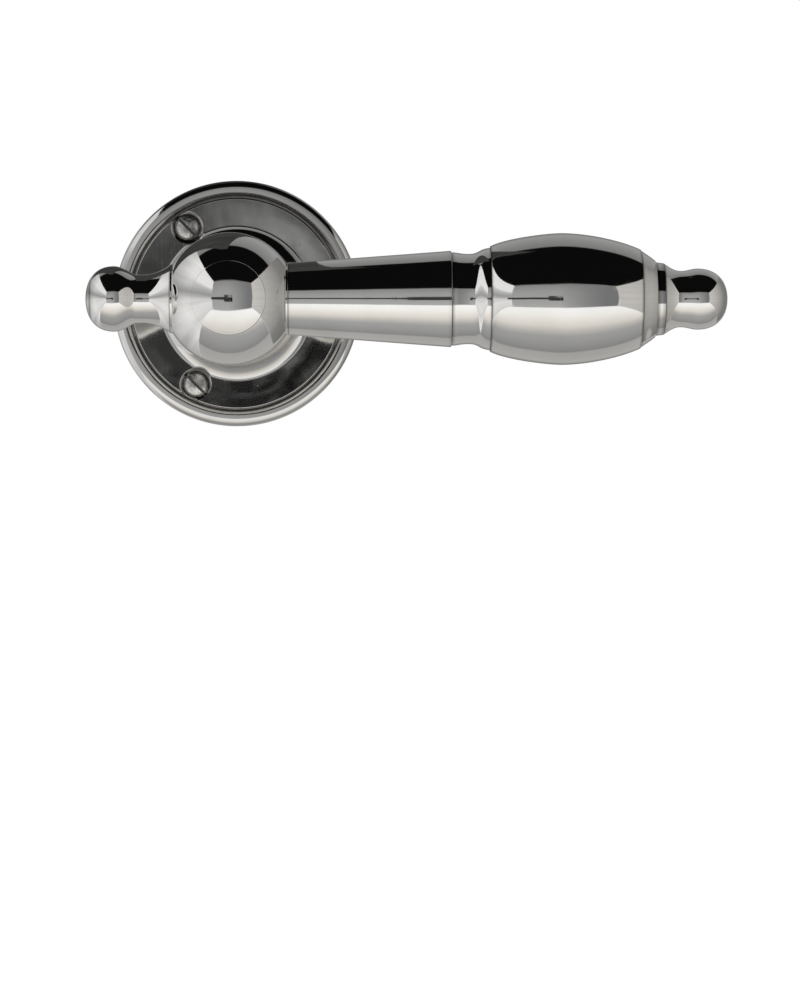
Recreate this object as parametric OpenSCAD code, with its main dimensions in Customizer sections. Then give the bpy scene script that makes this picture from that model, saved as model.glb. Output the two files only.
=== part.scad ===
// Door lever handle on a round rose.
// The door's face is the plane Y = 0 and the handle stands out of it along -Y. The lever lies
// along +X, +Z is up, and the origin is the centre of the rose's back face, on the spindle's axis.
// Turned pieces are drawn as outlines of [place along the axis, radius] and spun.

/* [Overall] */
// Distance of the lever's axis from the door's face
projection = 60; // [54:0.5:76]
// Diameter of the rose
rose_d = 55; // [52:0.5:70]
// Turn of the lever each way from level
turn_limit = 45; // [20:1:50]

/* [Rose] */
// Height of the half-round rim
rim_h = 2.6; // [2.2:0.1:3.4]
// Width of the half-round rim
rim_w = 3.4; // [2.4:0.1:4.2]
// Distance of the rim's crest in from the rose's edge
rim_crest = 2.7; // [1.4:0.1:3]
// Width of the groove inside the rim
groove_w = 0.7; // [0.4:0.1:1]
// Height of the dished face
face_h = 2.4; // [2.2:0.05:3]
// Slope of the dished face at its two edges
dish_slope = 0.7; // [0.1:0.1:3]
// Height of the boss above the door's face
boss_h = 8.7; // [8:0.1:12]
// Width of the boss's flared foot
flare_w = 4.7; // [3:0.1:6]
// Wall of the boss outside the stop pocket, at its top
boss_wall = 0.4; // [0.3:0.05:2]

/* [Fixing screws] */
// Number of fixing screws
screw_count = 3; // [2:1:4]
// Angle of the first screw, counterclockwise from the lever as seen from the room
screw_first = 3; // [-60:1:60]
// Radius of the screw's head
screw_head_r = 2.75; // [2.3:0.05:3.2]
// Radius of the screw's shank
screw_shank_r = 1.5; // [1:0.05:1.8]
// Depth of the screw's thread where it starts, behind the rose
thread_step = 0.05; // [0.05:0.05:0.2]
// Length of the screw below its head's rim
screw_len = 18; // [12:0.5:40]
// Height of the head's dome
screw_dome = 0.75; // [0.4:0.05:1.2]
// Width of the screwdriver slot
slot_w = 0.6; // [0.5:0.05:1.2]
// Direction of the slots
slot_angle = -45; // [-90:1:90]

/* [Neck] */
// Height of the ring at the neck's foot
foot_ring_h = 2.9; // [2:0.1:5]
// Radius of the lower waist
low_waist_r = 8.8; // [8.2:0.05:10]
// Height of the bead above the door's face
bead_z = 28; // [26:0.5:30]
// Radius of the bead
bead_r = 10.75; // [10.4:0.05:12]
// Width of the bead
bead_w = 2.6; // [2:0.1:4]
// Radius of the lands beside the bead
land_r = 10.3; // [9.5:0.05:10.4]
// Width of the land below the bead
land_low_w = 1.4; // [0.8:0.1:2]
// Width of the land above the bead
land_up_w = 2; // [0.8:0.1:3]
// Radius of the upper waist
up_waist_r = 8.1; // [7.9:0.05:9.4]
// Radius of the ring under the ball
neck_top_r = 9.4; // [9.2:0.05:11]
// Height of the ring under the ball
top_ring_h = 2.2; // [1:0.1:3]

/* [Ball hub and cap] */
// Radius of the ball
ball_r = 13.9; // [12.5:0.1:17]
// Radius of the domed cap
cap_r = 7.7; // [6:0.1:10]
// Height of the cap above its seat
cap_h = 2.75; // [1.5:0.05:4]
// Overhang of the cap past its flat on the ball
cap_lip = 0.2; // [0.1:0.05:0.5]
// Height of the grip's and the tail's seats above the ball
seat_rise = 0.4; // [0.2:0.05:1]

/* [Grip] */
// Length of the tapered sleeve
taper_len = 34.1; // [24:0.1:60]
// Radius of the taper at the ball
taper_r = 7.5; // [6:0.1:9]
// Radius of the taper's far end
taper_end_r = 10.05; // [9:0.05:11]
// Length of the cove ring
cove_len = 8.1; // [7:0.1:10]
// Radius of the cove ring's first edge
cove_r = 9.72; // [9:0.02:10.5]
// Radius of the cove ring's last edge
cove_end_r = 10.65; // [10:0.05:12]
// Length of the barrel
barrel_len = 31.4; // [26:0.1:60]
// Largest radius of the barrel
barrel_r = 13.75; // [12:0.05:17]
// Radius of the barrel's edge at the cove ring
barrel_start_r = 11; // [10:0.05:12]
// Slope of the barrel where it leaves the cove ring
barrel_start_slope = 29; // [20:1:45]
// Radius of the barrel's edge at the end collar
barrel_end_r = 10.35; // [9:0.05:11]
// Length of the end collar
collar_len = 4.85; // [4:0.05:7]
// Radius of the end collar's ring
collar_ring_r = 7.6; // [6.5:0.05:8]
// Length of the tip finial
finial_len = 13.4; // [11:0.1:18]
// Radius of the finial's waist
finial_waist_r = 5.88; // [5:0.02:6.2]
// Radius of the finial's knob
finial_r = 6.38; // [6:0.02:8]

/* [Tail knob] */
// Length of the tail knob
tail_len = 17.8; // [14:0.1:24]
// Radius of the tail's foot on the ball
tail_foot_r = 7.2; // [6:0.1:9]
// Radius of the tail's waist
tail_waist_r = 5.03; // [4:0.01:6]
// Radius of the knob
tail_r = 6.82; // [5.5:0.01:8]

/* [Spindle and fastenings] */
// Width of the square spindle
spindle_w = 8; // [7:0.5:10]
// Length of the spindle behind the door's face
spindle_out = 28; // [20:1:60]
// Length of the spindle inside the handle
spindle_in = 32; // [26:1:36]
// Radius of the grub screw
grub_r = 2.5; // [1.5:0.25:3]
// Width across the grub screw's hexagon socket
grub_hex = 2.5; // [1.5:0.5:3]
// Radius of the neck's threaded tenon
tenon_r = 5; // [4:0.1:6]
// Length of the neck's tenon inside the ball
tenon_len = 6; // [4:0.1:7]
// Radius of the tie rod
rod_r = 3; // [2:0.1:3.5]
// Radius of the tail knob's spigot
spigot_r = 3.5; // [2.5:0.1:4]
// Radius of the cap's spigot
cap_spigot_r = 3; // [2:0.1:4]
// Length of the cap's spigot
cap_spigot_len = 5; // [3:0.1:6]
// Radius of the dowel between the neck and the ball
dowel_r = 1.25; // [0.75:0.05:1.5]
// Length of the dowel
dowel_len = 6; // [4:0.5:8]

/* [Return spring and stops] */
// Diameter of the spring's wire
wire_d = 1.8; // [1.2:0.05:2.2]
// Turns of the spring's coil, a whole number and a half
coil_turns = 1.5; // [0.5:1:1.5]
// Thickness of the stop plate
plate_t = 1.1; // [0.8:0.1:1.4]
// Half angle of the stop plate's lug
lug_half = 13; // [11:1:18]
// Thickness of the retaining ring
ring_t = 1; // [0.8:0.1:1.2]
// Thickness of the shim between the ring and the stop plate
shim_t = 0.5; // [0.3:0.1:0.6]
// Thickness of the bush's wall
bush_t = 1.05; // [0.8:0.05:1.4]
// Thickness of the bush's flange
bush_flange_t = 0.6; // [0.4:0.05:1]
// Wall of the neck's journal at the spindle's corners
journal_wall = 1.78; // [1.5:0.02:2.4]

/* [Clearances] */
// Running clearance of the journal, on the radius
run_gap = 0.05; // [0.02:0.01:0.1]
// Gap between pieces that move past each other
move_gap = 0.3; // [0.2:0.05:0.6]
// End play of the neck in the rose
end_play = 0.1; // [0.05:0.01:0.2]
// Clearance of threads, spigots and dowels, on the radius
thread_gap = 0.05; // [0.02:0.01:0.1]
// Clearance of fixed pieces seated in the rose, on the radius
seat_gap = 0.02; // [0.01:0.01:0.05]
// Clearance of the grip pieces on the tie rod, on the radius
rod_gap = 0.1; // [0.05:0.05:0.3]
// Clearance of the spring's legs in the stop plate and the rose
leg_gap = 0.15; // [0.1:0.05:0.3]

/* [Hidden] */
$fn = 64;
curve_steps = 10;
eps = 0.01;

// Seats on the ball, as distances from its centre
neck_seat = sqrt(pow(ball_r, 2) - pow(neck_top_r, 2));
cap_seat = sqrt(pow(ball_r, 2) - pow(cap_r - cap_lip, 2));
grip_seat = sqrt(pow(ball_r, 2) - pow(taper_r, 2)) + seat_rise;
tail_seat = sqrt(pow(ball_r, 2) - pow(tail_foot_r, 2)) + seat_rise;

// Places along the lever, from the spindle's axis
cove_x = grip_seat + taper_len;
barrel_x = cove_x + cove_len;
collar_x = barrel_x + barrel_len;
finial_x = collar_x + collar_len;
rod_start = tenon_r + 0.4;
rod_end = finial_x + finial_len * 0.5;

// Radii of the nested pieces in the rose, from the spindle outwards
spindle_gap = 0.05;
socket_w = spindle_w + 2 * spindle_gap;
journal_r = socket_w / sqrt(2) + journal_wall;
journal_flat = journal_r - 0.8;
groove_r = journal_r - 0.6;
ear_r = 1.1;
ear_place = journal_r + 0.3;
ring_r = journal_r + 0.8;
shim_r = journal_r + 1.4;
wire_r = wire_d / 2;
coil_r = ear_place + ear_r + 0.5 + wire_r;
cavity_r = coil_r + wire_r + move_gap;
lug_r = coil_r + wire_r + 0.6;
pocket_r = lug_r + move_gap;
plate_r = shim_r + 0.3;
bush_r = journal_r + run_gap + bush_t;
boss_r = pocket_r + boss_wall;
flange_r = boss_r - 1.3;

// Heights of the stacked pieces in the rose, from the door's face
coil_z = wire_r + 0.3;
coil_pitch = wire_d + 0.03;
coil_top = coil_z + coil_turns * coil_pitch + wire_r;
plate_z = coil_top + 0.05;
web_z = plate_z + plate_t + end_play;
ring_z = plate_z - shim_t - ring_t;
journal_z = 0.9;
neck_z = boss_h + end_play;
flange_z = neck_z - run_gap - bush_flange_t;
tooth_len = 2.2;

// Radii across the rose's face
rim_r = rose_d / 2;
face_r = rim_r - rim_w - groove_w;
flare_r = boss_r + flare_w;
screw_circle_r = (flare_r + face_r) / 2;
groove_h = 1.95;
back_bevel = 0.3;

// Heights of the screws
screw_hole_r = screw_shank_r + 0.15;
sink_z = 0.4;
head_z = sink_z + screw_head_r - screw_hole_r;
head_land = 0.15;

// Heights up the neck
foot_top = neck_z + foot_ring_h;
land_low = bead_z - bead_w / 2 - land_low_w;
land_up = bead_z + bead_w / 2 + land_up_w;
neck_end = projection - neck_seat;
top_ring = neck_end - top_ring_h;
low_waist = foot_top + 0.6 * (land_low - foot_top);
up_waist = land_up + 0.53 * (top_ring - land_up);
grub_z = low_waist + 0.5;
foot_r = boss_r - 0.3;
dowel_place = 7.1;

nickel = [0.78, 0.77, 0.75];
steel = [0.6, 0.61, 0.63];

// Smooth curve from p to q, without p itself. It leaves p at angle a and reaches q at angle b,
// and ka and kb are the lengths of its two handles as shares of the chord.
function curve(p, q, a, b, ka = 0.35, kb = 0.35) =
    let (
        chord = norm(q - p),
        u = p + ka * chord * [cos(a), sin(a)],
        v = q - kb * chord * [cos(b), sin(b)]
    )
    blend(p, u, v, q);

// Cubic through p and q with handle ends u and v, without p itself
function blend(p, u, v, q) = [
    for (i = [1 : curve_steps])
        let (t = i / curve_steps, s = 1 - t)
            p * pow(s, 3) + u * 3 * t * pow(s, 2) + v * 3 * pow(t, 2) * s + q * pow(t, 3)
];

// Spins an outline of [place, radius] points about the Z axis
module turned(outline) {
    rotate_extrude()
        polygon([for (p = outline) [p[1], p[0]]]);
}

// Stands its children out of the door: their +Z becomes -Y and their +Y becomes +Z
module outwards() {
    rotate([90, 0, 0])
        children();
}

// Lays its children along the lever, with their +Z along +X from the spindle's axis
module along_lever() {
    translate([0, -projection, 0])
        rotate([0, 90, 0])
            children();
}

// Lays its children along the tail, with their +Z along -X from the spindle's axis
module along_tail() {
    translate([0, -projection, 0])
        rotate([0, -90, 0])
            children();
}

// Wedge of a circle between two angles
module wedge(r, from, to) {
    polygon(concat([[0, 0]], [for (i = [0 : 8]) let (a = from + (to - from) * i / 8) r * [cos(a), sin(a)]]));
}

module rose() {
    bore = [
        [boss_h, flange_r + seat_gap],
        [flange_z, flange_r + seat_gap],
        [flange_z, bush_r + seat_gap],
        [web_z, bush_r + seat_gap],
        [web_z, plate_r + move_gap],
        [plate_z - end_play, plate_r + move_gap],
        [plate_z - end_play, cavity_r],
        [0, cavity_r]
    ];
    crest = [rim_h, rim_r - rim_crest];
    outline = concat(
        [[0, rim_r - back_bevel], [back_bevel, rim_r], [rim_h * 0.25, rim_r]],
        curve([rim_h * 0.25, rim_r], crest, 0, -90, 0.5, 0.5),
        curve(crest, [groove_h, rim_r - rim_w], -90, -150, 0.4, 0.3),
        [[groove_h, face_r + 0.2], [face_h, face_r]],
        curve([face_h, face_r], [face_h, flare_r + 0.1], -90 - dish_slope, dish_slope - 90, 0.4, 0.4),
        [[face_h + 0.3, flare_r]],
        curve([face_h + 0.3, flare_r], [boss_h - 0.15, boss_r + 0.1], -88, -8, 0.37, 0.32),
        [[boss_h, boss_r - 0.05]],
        bore
    );
    color(nickel)
        outwards()
            difference() {
                turned(outline);
                stop_pocket();
                spring_tooth();
                for (i = [0 : screw_count - 1])
                    screw_place(i)
                        screw_hole();
            }
}

// Pocket that the stop plate's lug swings in
module stop_pocket() {
    half = turn_limit + lug_half + 1;
    translate([0, 0, plate_z - end_play])
        linear_extrude(plate_t + 2 * end_play)
            intersection() {
                circle(r = pocket_r);
                wedge(pocket_r * 2, 90 - half, 90 + half);
            }
}

// Slot in the rose that holds the spring's outer leg
module spring_tooth() {
    translate([-wire_r - leg_gap, -cavity_r - tooth_len, -1])
        cube([wire_d + 2 * leg_gap, cavity_r + tooth_len - coil_r, coil_z + wire_r + 1.3]);
}

module screw_place(i) {
    rotate([0, 0, screw_first + i * 360 / screw_count])
        translate([screw_circle_r, 0, 0])
            rotate([0, 0, -screw_first - i * 360 / screw_count])
                children();
}

// Countersunk hole, cut through the plate from behind it to above its face
module screw_hole() {
    depth = face_h - sink_z + 0.5;
    turned([
        [-1, 0],
        [-1, screw_hole_r],
        [sink_z, screw_hole_r],
        [sink_z + depth, screw_hole_r + depth],
        [sink_z + depth, 0]
    ]);
}

// Raised countersunk wood screw, its head's rim lying a hair above the seat in the rose.
// Its thread, drawn plain, starts just behind the door's face.
module fixing_screw(i) {
    cone = screw_head_r - screw_shank_r;
    tip = screw_len * 0.22;
    thread_r = screw_shank_r - thread_step;
    thread_z = -head_z - 0.3;
    outline = concat(
        [[-screw_len, 0], [-screw_len + tip, thread_r], [thread_z, thread_r], [thread_z, screw_shank_r],
            [-cone, screw_shank_r], [0, screw_head_r], [head_land, screw_head_r]],
        curve([head_land, screw_head_r], [screw_dome, 0], 30, -90, 0.2, 0.5)
    );
    color(nickel)
        outwards()
            screw_place(i)
                translate([0, 0, head_z + seat_gap])
                    difference() {
                        turned(outline);
                        rotate([0, 0, slot_angle])
                            translate([-screw_head_r - 1, -slot_w / 2, -0.1])
                                cube([2 * screw_head_r + 2, slot_w, screw_dome + 1]);
                    }
}

// Flanged bush: its sleeve carries the journal and its flange carries the neck's foot
module rose_bush() {
    color([0.92, 0.9, 0.84])
        outwards()
            difference() {
                union() {
                    translate([0, 0, web_z])
                        cylinder(r = bush_r, h = flange_z - web_z + eps);
                    translate([0, 0, flange_z])
                        cylinder(r = flange_r, h = bush_flange_t);
                }
                translate([0, 0, -1])
                    cylinder(r = journal_r + run_gap, h = boss_h + 3);
            }
}

// Torsion spring: an outer leg in the rose's slot, the coil, and a leg up into the stop plate's lug
function around(r, a, z) = [r * cos(a), r * sin(a), z];

function spring_path() =
    let (
        from = -90,
        to = from + 360 * coil_turns,
        bend = 12,
        top = coil_z + coil_turns * coil_pitch,
        steps = round(coil_turns * 22),
        out = around(cavity_r + tooth_len - 0.4, from, coil_z),
        knee = around(coil_r + wire_d * 0.6, from, coil_z),
        first = around(coil_r, from + bend, coil_z),
        last = around(coil_r, to - bend * 0.9, top),
        lift = around(coil_r, to, plate_z - 0.35)
    )
    concat(
        [out, knee],
        blend(knee, around(coil_r + 0.4, from, coil_z), around(coil_r, from + bend * 0.4, coil_z), first),
        [for (i = [1 : steps - 1])
            let (t = i / steps)
                around(coil_r, (from + bend) * (1 - t) + (to - bend * 0.9) * t, coil_z * (1 - t) + top * t)],
        [last],
        blend(last, around(coil_r, to - bend * 0.3, top), around(coil_r, to, top + wire_d * 0.1), lift),
        [around(coil_r, to, plate_z + plate_t * 0.8)]
    );

// Unit direction of a path at point i
function heading(path, i) =
    let (
        a = path[max(i - 1, 0)],
        b = path[min(i + 1, len(path) - 1)]
    )
    (b - a) / norm(b - a);

// Sideways directions along a path, each the last one kept square to the path
function sideways(path, i = 0, last = [0, 0, 1]) =
    i == len(path)
        ? []
        : let (
            h = heading(path, i),
            flat = last - h * (last * h),
            s = flat / norm(flat)
        )
        concat([s], sideways(path, i + 1, s));

// Round wire swept along a path
module wire(path, r, sides) {
    side = sideways(path);
    points = [
        for (i = [0 : len(path) - 1], k = [0 : sides - 1])
            let (across = cross(heading(path, i), side[i]), a = 360 * k / sides)
                path[i] + r * (cos(a) * side[i] + sin(a) * across)
    ];
    skin = [
        for (i = [0 : len(path) - 2], k = [0 : sides - 1])
            let (n = (k + 1) % sides)
                [i * sides + k, (i + 1) * sides + k, (i + 1) * sides + n, i * sides + n]
    ];
    first = [for (k = [0 : sides - 1]) k];
    last = [for (k = [0 : sides - 1]) len(path) * sides - 1 - k];
    polyhedron(points, concat([first, last], skin), convexity = 6);
}

module return_spring() {
    color(steel)
        outwards()
            wire(spring_path(), wire_r, 12);
}

// Neck, drawn from its bearing journal and the retaining ring's groove up to its tenon in the ball
module neck() {
    outline = concat(
        [[journal_z, 0], [journal_z, journal_r], [ring_z, journal_r], [ring_z, groove_r],
            [ring_z + ring_t, groove_r], [ring_z + ring_t, journal_r], [neck_z, journal_r],
            [neck_z, foot_r - 0.15], [neck_z + 0.2, foot_r], [foot_top, foot_r]],
        curve([foot_top, foot_r], [low_waist, low_waist_r], -37, 0, 0.44, 0.55),
        curve([low_waist, low_waist_r], [land_low, land_r - 0.1], 0, 33, 0.25, 0.28),
        [[land_low, land_r], [bead_z - bead_w / 2, land_r]],
        curve([bead_z - bead_w / 2, land_r], [bead_z, bead_r], 60, 0, 0.3, 0.5),
        curve([bead_z, bead_r], [bead_z + bead_w / 2, land_r], 0, -60, 0.5, 0.3),
        [[land_up, land_r], [land_up, land_r - 0.15]],
        curve([land_up, land_r - 0.15], [up_waist, up_waist_r], -36, 0, 0.28, 0.27),
        curve([up_waist, up_waist_r], [top_ring, neck_top_r - 0.35], 0, 11, 0.35, 0.43),
        [[top_ring, neck_top_r - 0.1], [top_ring + 0.2, neck_top_r], [neck_end, neck_top_r],
            [neck_end, tenon_r], [neck_end + tenon_len, tenon_r], [neck_end + tenon_len, 0]]
    );
    color(nickel)
        outwards()
            difference() {
                turned(outline);
                journal_flats();
                translate([-socket_w / 2, -socket_w / 2, 0])
                    cube([socket_w, socket_w, spindle_in + 1]);
                translate([0, 0, grub_z])
                    rotate([90, 0, 0])
                        cylinder(r = grub_r + thread_gap, h = foot_r);
                dowel_bore();
            }
}

// Cuts the two flats on the journal that key the stop plate
module journal_flats() {
    width = 3 * journal_r;
    for (side = [0, 180])
        rotate([0, 0, side])
            translate([-width / 2, journal_flat, 0])
                cube([width, journal_r, plate_z + plate_t]);
}

// Stop plate: keyed on the journal's flats, with a lug that carries the spring's leg
module stop_plate() {
    color(steel)
        outwards()
            translate([0, 0, plate_z])
                linear_extrude(plate_t)
                    difference() {
                        union() {
                            circle(r = plate_r);
                            intersection() {
                                circle(r = lug_r);
                                wedge(lug_r * 2, 90 - lug_half, 90 + lug_half);
                            }
                        }
                        intersection() {
                            circle(r = journal_r + thread_gap);
                            square([3 * journal_r, 2 * (journal_flat + thread_gap)], center = true);
                        }
                        translate([0, coil_r])
                            circle(r = wire_r + leg_gap);
                    }
}

module shim_washer() {
    color(steel)
        outwards()
            translate([0, 0, plate_z - shim_t])
                linear_extrude(shim_t)
                    difference() {
                        circle(r = shim_r);
                        circle(r = journal_r + thread_gap);
                    }
}

// Retaining ring: open below, with an ear and a plier hole on each side of its gap
module retaining_ring() {
    gap_half = 18;
    ear_angle = gap_half + 9;
    color(steel)
        outwards()
            translate([0, 0, ring_z])
                linear_extrude(ring_t)
                    difference() {
                        union() {
                            circle(r = ring_r);
                            for (side = [-1, 1])
                                rotate([0, 0, -90 + side * ear_angle])
                                    translate([ear_place, 0])
                                        circle(r = ear_r);
                        }
                        circle(r = groove_r + seat_gap);
                        wedge(ring_r * 2, -90 - gap_half, -90 + gap_half);
                        for (side = [-1, 1])
                            rotate([0, 0, -90 + side * ear_angle])
                                translate([ear_place, 0])
                                    circle(r = ear_r * 0.4);
                    }
}

// Square spindle with its corners and ends eased
module spindle() {
    corner_r = spindle_w / sqrt(2) - 0.35;
    bevel = 1;
    outline = [
        [-spindle_out, 0],
        [-spindle_out, corner_r - bevel],
        [-spindle_out + bevel, corner_r],
        [spindle_in - bevel, corner_r],
        [spindle_in, corner_r - bevel],
        [spindle_in, 0]
    ];
    color(steel)
        outwards()
            intersection() {
                translate([-spindle_w / 2, -spindle_w / 2, -spindle_out - 1])
                    cube([spindle_w, spindle_w, spindle_out + spindle_in + 2]);
                turned(outline);
            }
}

// Grub screw under the neck, its point on the spindle's flat
module grub_screw() {
    outer = low_waist_r - 0.5;
    point = spindle_w / 2;
    outline = [
        [point, 0],
        [point, grub_r * 0.5],
        [point + grub_r * 0.5, grub_r],
        [outer - 0.3, grub_r],
        [outer, grub_r - 0.3],
        [outer, 0]
    ];
    color(steel)
        outwards()
            translate([0, 0, grub_z])
                rotate([90, 0, 0])
                    difference() {
                        turned(outline);
                        translate([0, 0, outer - 2])
                            cylinder(d = grub_hex / cos(30), h = 3, $fn = 6);
                    }
}

// Bore that holds half of the dowel in the neck and half in the ball
module dowel_bore() {
    translate([-dowel_place, 0, neck_end - dowel_len / 2 - 0.1])
        cylinder(r = dowel_r + thread_gap, h = dowel_len + 0.2);
}

module hub_dowel() {
    color(steel)
        outwards()
            translate([-dowel_place, 0, neck_end - dowel_len / 2])
                cylinder(r = dowel_r, h = dowel_len);
}

// Ball with flats for the neck and the cap, and low seats for the grip and the tail
module hub_ball() {
    color(nickel)
        difference() {
            intersection() {
                union() {
                    outwards()
                        translate([0, 0, projection])
                            rotate([0, 0, 45])
                                flattened_ball();
                    along_lever()
                        cylinder(r = taper_r, h = grip_seat + 1);
                    along_tail()
                        cylinder(r = tail_foot_r, h = tail_seat + 1);
                }
                translate([-tail_seat, -projection - 2 * ball_r, -2 * ball_r])
                    cube([tail_seat + grip_seat, 4 * ball_r, 4 * ball_r]);
            }
            outwards() {
                translate([0, 0, neck_end - 1])
                    cylinder(r = tenon_r + thread_gap, h = tenon_len + 1.3);
                translate([0, 0, projection + cap_seat - cap_spigot_len - 0.3])
                    cylinder(r = cap_spigot_r + thread_gap, h = ball_r);
                dowel_bore();
            }
            along_lever()
                translate([0, 0, rod_start])
                    cylinder(r = rod_r + thread_gap, h = ball_r);
            along_tail()
                translate([0, 0, rod_start])
                    cylinder(r = spigot_r + thread_gap, h = ball_r);
        }
}

module flattened_ball() {
    rotate_extrude()
        intersection() {
            circle(r = ball_r);
            translate([0, -neck_seat])
                square([2 * ball_r, neck_seat + cap_seat]);
        }
}

// Domed cap with a spigot that screws into the ball
module hub_cap() {
    edge = cap_h * 0.24;
    outline = concat(
        [[-cap_spigot_len, 0], [-cap_spigot_len, cap_spigot_r], [0, cap_spigot_r], [0, cap_r - 0.2],
            [0.2, cap_r], [edge, cap_r]],
        curve([edge, cap_r], [edge + 0.45, cap_r - 0.5], 0, -60, 0.4, 0.4),
        curve([edge + 0.45, cap_r - 0.5], [cap_h, 0], -63, -90, 0.35, 0.35)
    );
    color(nickel)
        outwards()
            translate([0, 0, projection + cap_seat])
                turned(outline);
}

module tail_knob() {
    waist = tail_len * 0.33;
    waist_end = tail_len * 0.4;
    crown = tail_len * 0.67;
    outline = concat(
        [[rod_start - tail_seat + 0.1, 0], [rod_start - tail_seat + 0.1, spigot_r], [0, spigot_r],
            [0, tail_foot_r]],
        curve([0, tail_foot_r], [waist, tail_waist_r], -36, 0, 0.36, 0.36),
        [[waist_end, tail_waist_r]],
        curve([waist_end, tail_waist_r], [crown, tail_r], 0, 0, 0.19, 0.42),
        curve([crown, tail_r], [tail_len, 0], 0, -90, 0.43, 0.44)
    );
    color(nickel)
        along_tail()
            translate([0, 0, tail_seat])
                turned(outline);
}

module tie_rod() {
    color(steel)
        along_lever()
            translate([0, 0, rod_start + 0.1])
                cylinder(r = rod_r, h = rod_end - rod_start - 0.1);
}

// A piece of the grip that stands at x along the lever and is bored for the tie rod
module grip_piece(x, outline, bore_len) {
    color(nickel)
        along_lever()
            translate([0, 0, x])
                difference() {
                    turned(outline);
                    translate([0, 0, -1])
                        cylinder(r = rod_r + rod_gap, h = bore_len + 1);
                }
}

module grip_taper() {
    outline = [
        [0, 0],
        [0, taper_r],
        [taper_len - 0.15, taper_end_r],
        [taper_len, taper_end_r - 0.15],
        [taper_len, 0]
    ];
    grip_piece(grip_seat, outline, taper_len + 1);
}

module cove_ring() {
    edge = 0.7;
    outline = concat(
        [[0, 0], [0, cove_r], [edge, cove_r]],
        curve([edge, cove_r], [cove_len - 0.3, cove_end_r], -10, 7, 0.78, 0.4),
        [[cove_len, cove_end_r], [cove_len, 0]]
    );
    grip_piece(cove_x, outline, cove_len + 1);
}

module grip_barrel() {
    belly = barrel_len * 0.475;
    outline = concat(
        [[0, 0], [0, barrel_start_r]],
        curve([0, barrel_start_r], [belly, barrel_r], barrel_start_slope, 0, 0.22, 0.21),
        curve([belly, barrel_r], [barrel_len, barrel_end_r], 0, -25, 0.31, 0.28),
        [[barrel_len, 0]]
    );
    grip_piece(barrel_x, outline, barrel_len + 1);
}

module end_collar() {
    shoulder = collar_len * 0.64;
    outline = concat(
        [[0, 0], [0, barrel_end_r - 0.1]],
        curve([0, barrel_end_r - 0.1], [shoulder, collar_ring_r + 0.4], -38, -41),
        [[shoulder, collar_ring_r + 0.1], [collar_len, collar_ring_r - 0.13], [collar_len, 0]]
    );
    grip_piece(collar_x, outline, collar_len + 1);
}

module tip_finial() {
    waist = finial_len * 0.265;
    crown = finial_len * 0.535;
    outline = concat(
        [[0, 0], [0, collar_ring_r - 0.13]],
        curve([0, collar_ring_r - 0.13], [waist, finial_waist_r], -33, 0),
        curve([waist, finial_waist_r], [crown, finial_r], 0, 0, 0.42, 0.37),
        curve([crown, finial_r], [finial_len, 0], 0, -90, 0.43, 0.45)
    );
    grip_piece(finial_x, outline, finial_len * 0.5 + 0.3);
}

rose();
rose_bush();
fixing_screw(0);  // fixing_screw_1
fixing_screw(1);  // fixing_screw_2
fixing_screw(2);  // fixing_screw_3
return_spring();
neck();
stop_plate();
shim_washer();
retaining_ring();
spindle();
grub_screw();
hub_dowel();
hub_ball();
hub_cap();
tail_knob();
tie_rod();
grip_taper();
cove_ring();
grip_barrel();
end_collar();
tip_finial();
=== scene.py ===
"""Looks of a turned nickel door lever handle on a round rose.

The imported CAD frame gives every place. Turned pieces are outlines of (place along the axis, radius)
points carried round an axis; the rose, the neck, the ball and the screws add their holes to that.
Sizes are metres, in the CAD's frame: the door's face is y = 0, the handle stands out along -y, the lever
lies along +x and z is up.
"""

import math

import bmesh
import bpy
import numpy as np
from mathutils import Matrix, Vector


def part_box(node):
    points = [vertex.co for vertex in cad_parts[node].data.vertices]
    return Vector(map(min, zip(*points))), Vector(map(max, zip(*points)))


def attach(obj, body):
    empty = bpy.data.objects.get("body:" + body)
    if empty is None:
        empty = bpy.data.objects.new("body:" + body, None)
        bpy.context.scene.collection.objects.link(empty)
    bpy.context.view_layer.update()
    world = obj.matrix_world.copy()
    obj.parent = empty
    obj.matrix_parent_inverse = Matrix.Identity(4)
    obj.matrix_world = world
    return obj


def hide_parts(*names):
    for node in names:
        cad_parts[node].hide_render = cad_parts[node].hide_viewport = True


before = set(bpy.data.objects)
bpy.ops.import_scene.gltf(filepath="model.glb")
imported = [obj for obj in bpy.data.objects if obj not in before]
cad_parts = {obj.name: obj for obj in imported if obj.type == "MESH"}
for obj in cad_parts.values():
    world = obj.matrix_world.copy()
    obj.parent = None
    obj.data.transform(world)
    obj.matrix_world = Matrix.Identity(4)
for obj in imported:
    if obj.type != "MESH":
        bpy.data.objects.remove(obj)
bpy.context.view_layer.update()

bl_info = {
    "name": "Door lever handle",
    "version": (1, 0, 0),
    "blender": (4, 5, 0),
    "location": "3D View > Sidebar > Lever Handle",
    "description": "Rebuilds the visible pieces, finishes and studio of a door lever handle",
    "category": "Object",
}

MM = 0.001
SIDES = 192
CURVE_STEPS = 26
SHARP_TURN = math.radians(32)
ROSE_BODY = "rose_set"
LEVER_BODY = "lever_set"
SCREW_NODES = ["fixing_screw_1", "fixing_screw_2", "fixing_screw_3"]


def span(node):
    """Lowest and highest corner of a CAD node, as two arrays."""
    low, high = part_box(node)
    return np.array(low), np.array(high)


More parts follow.
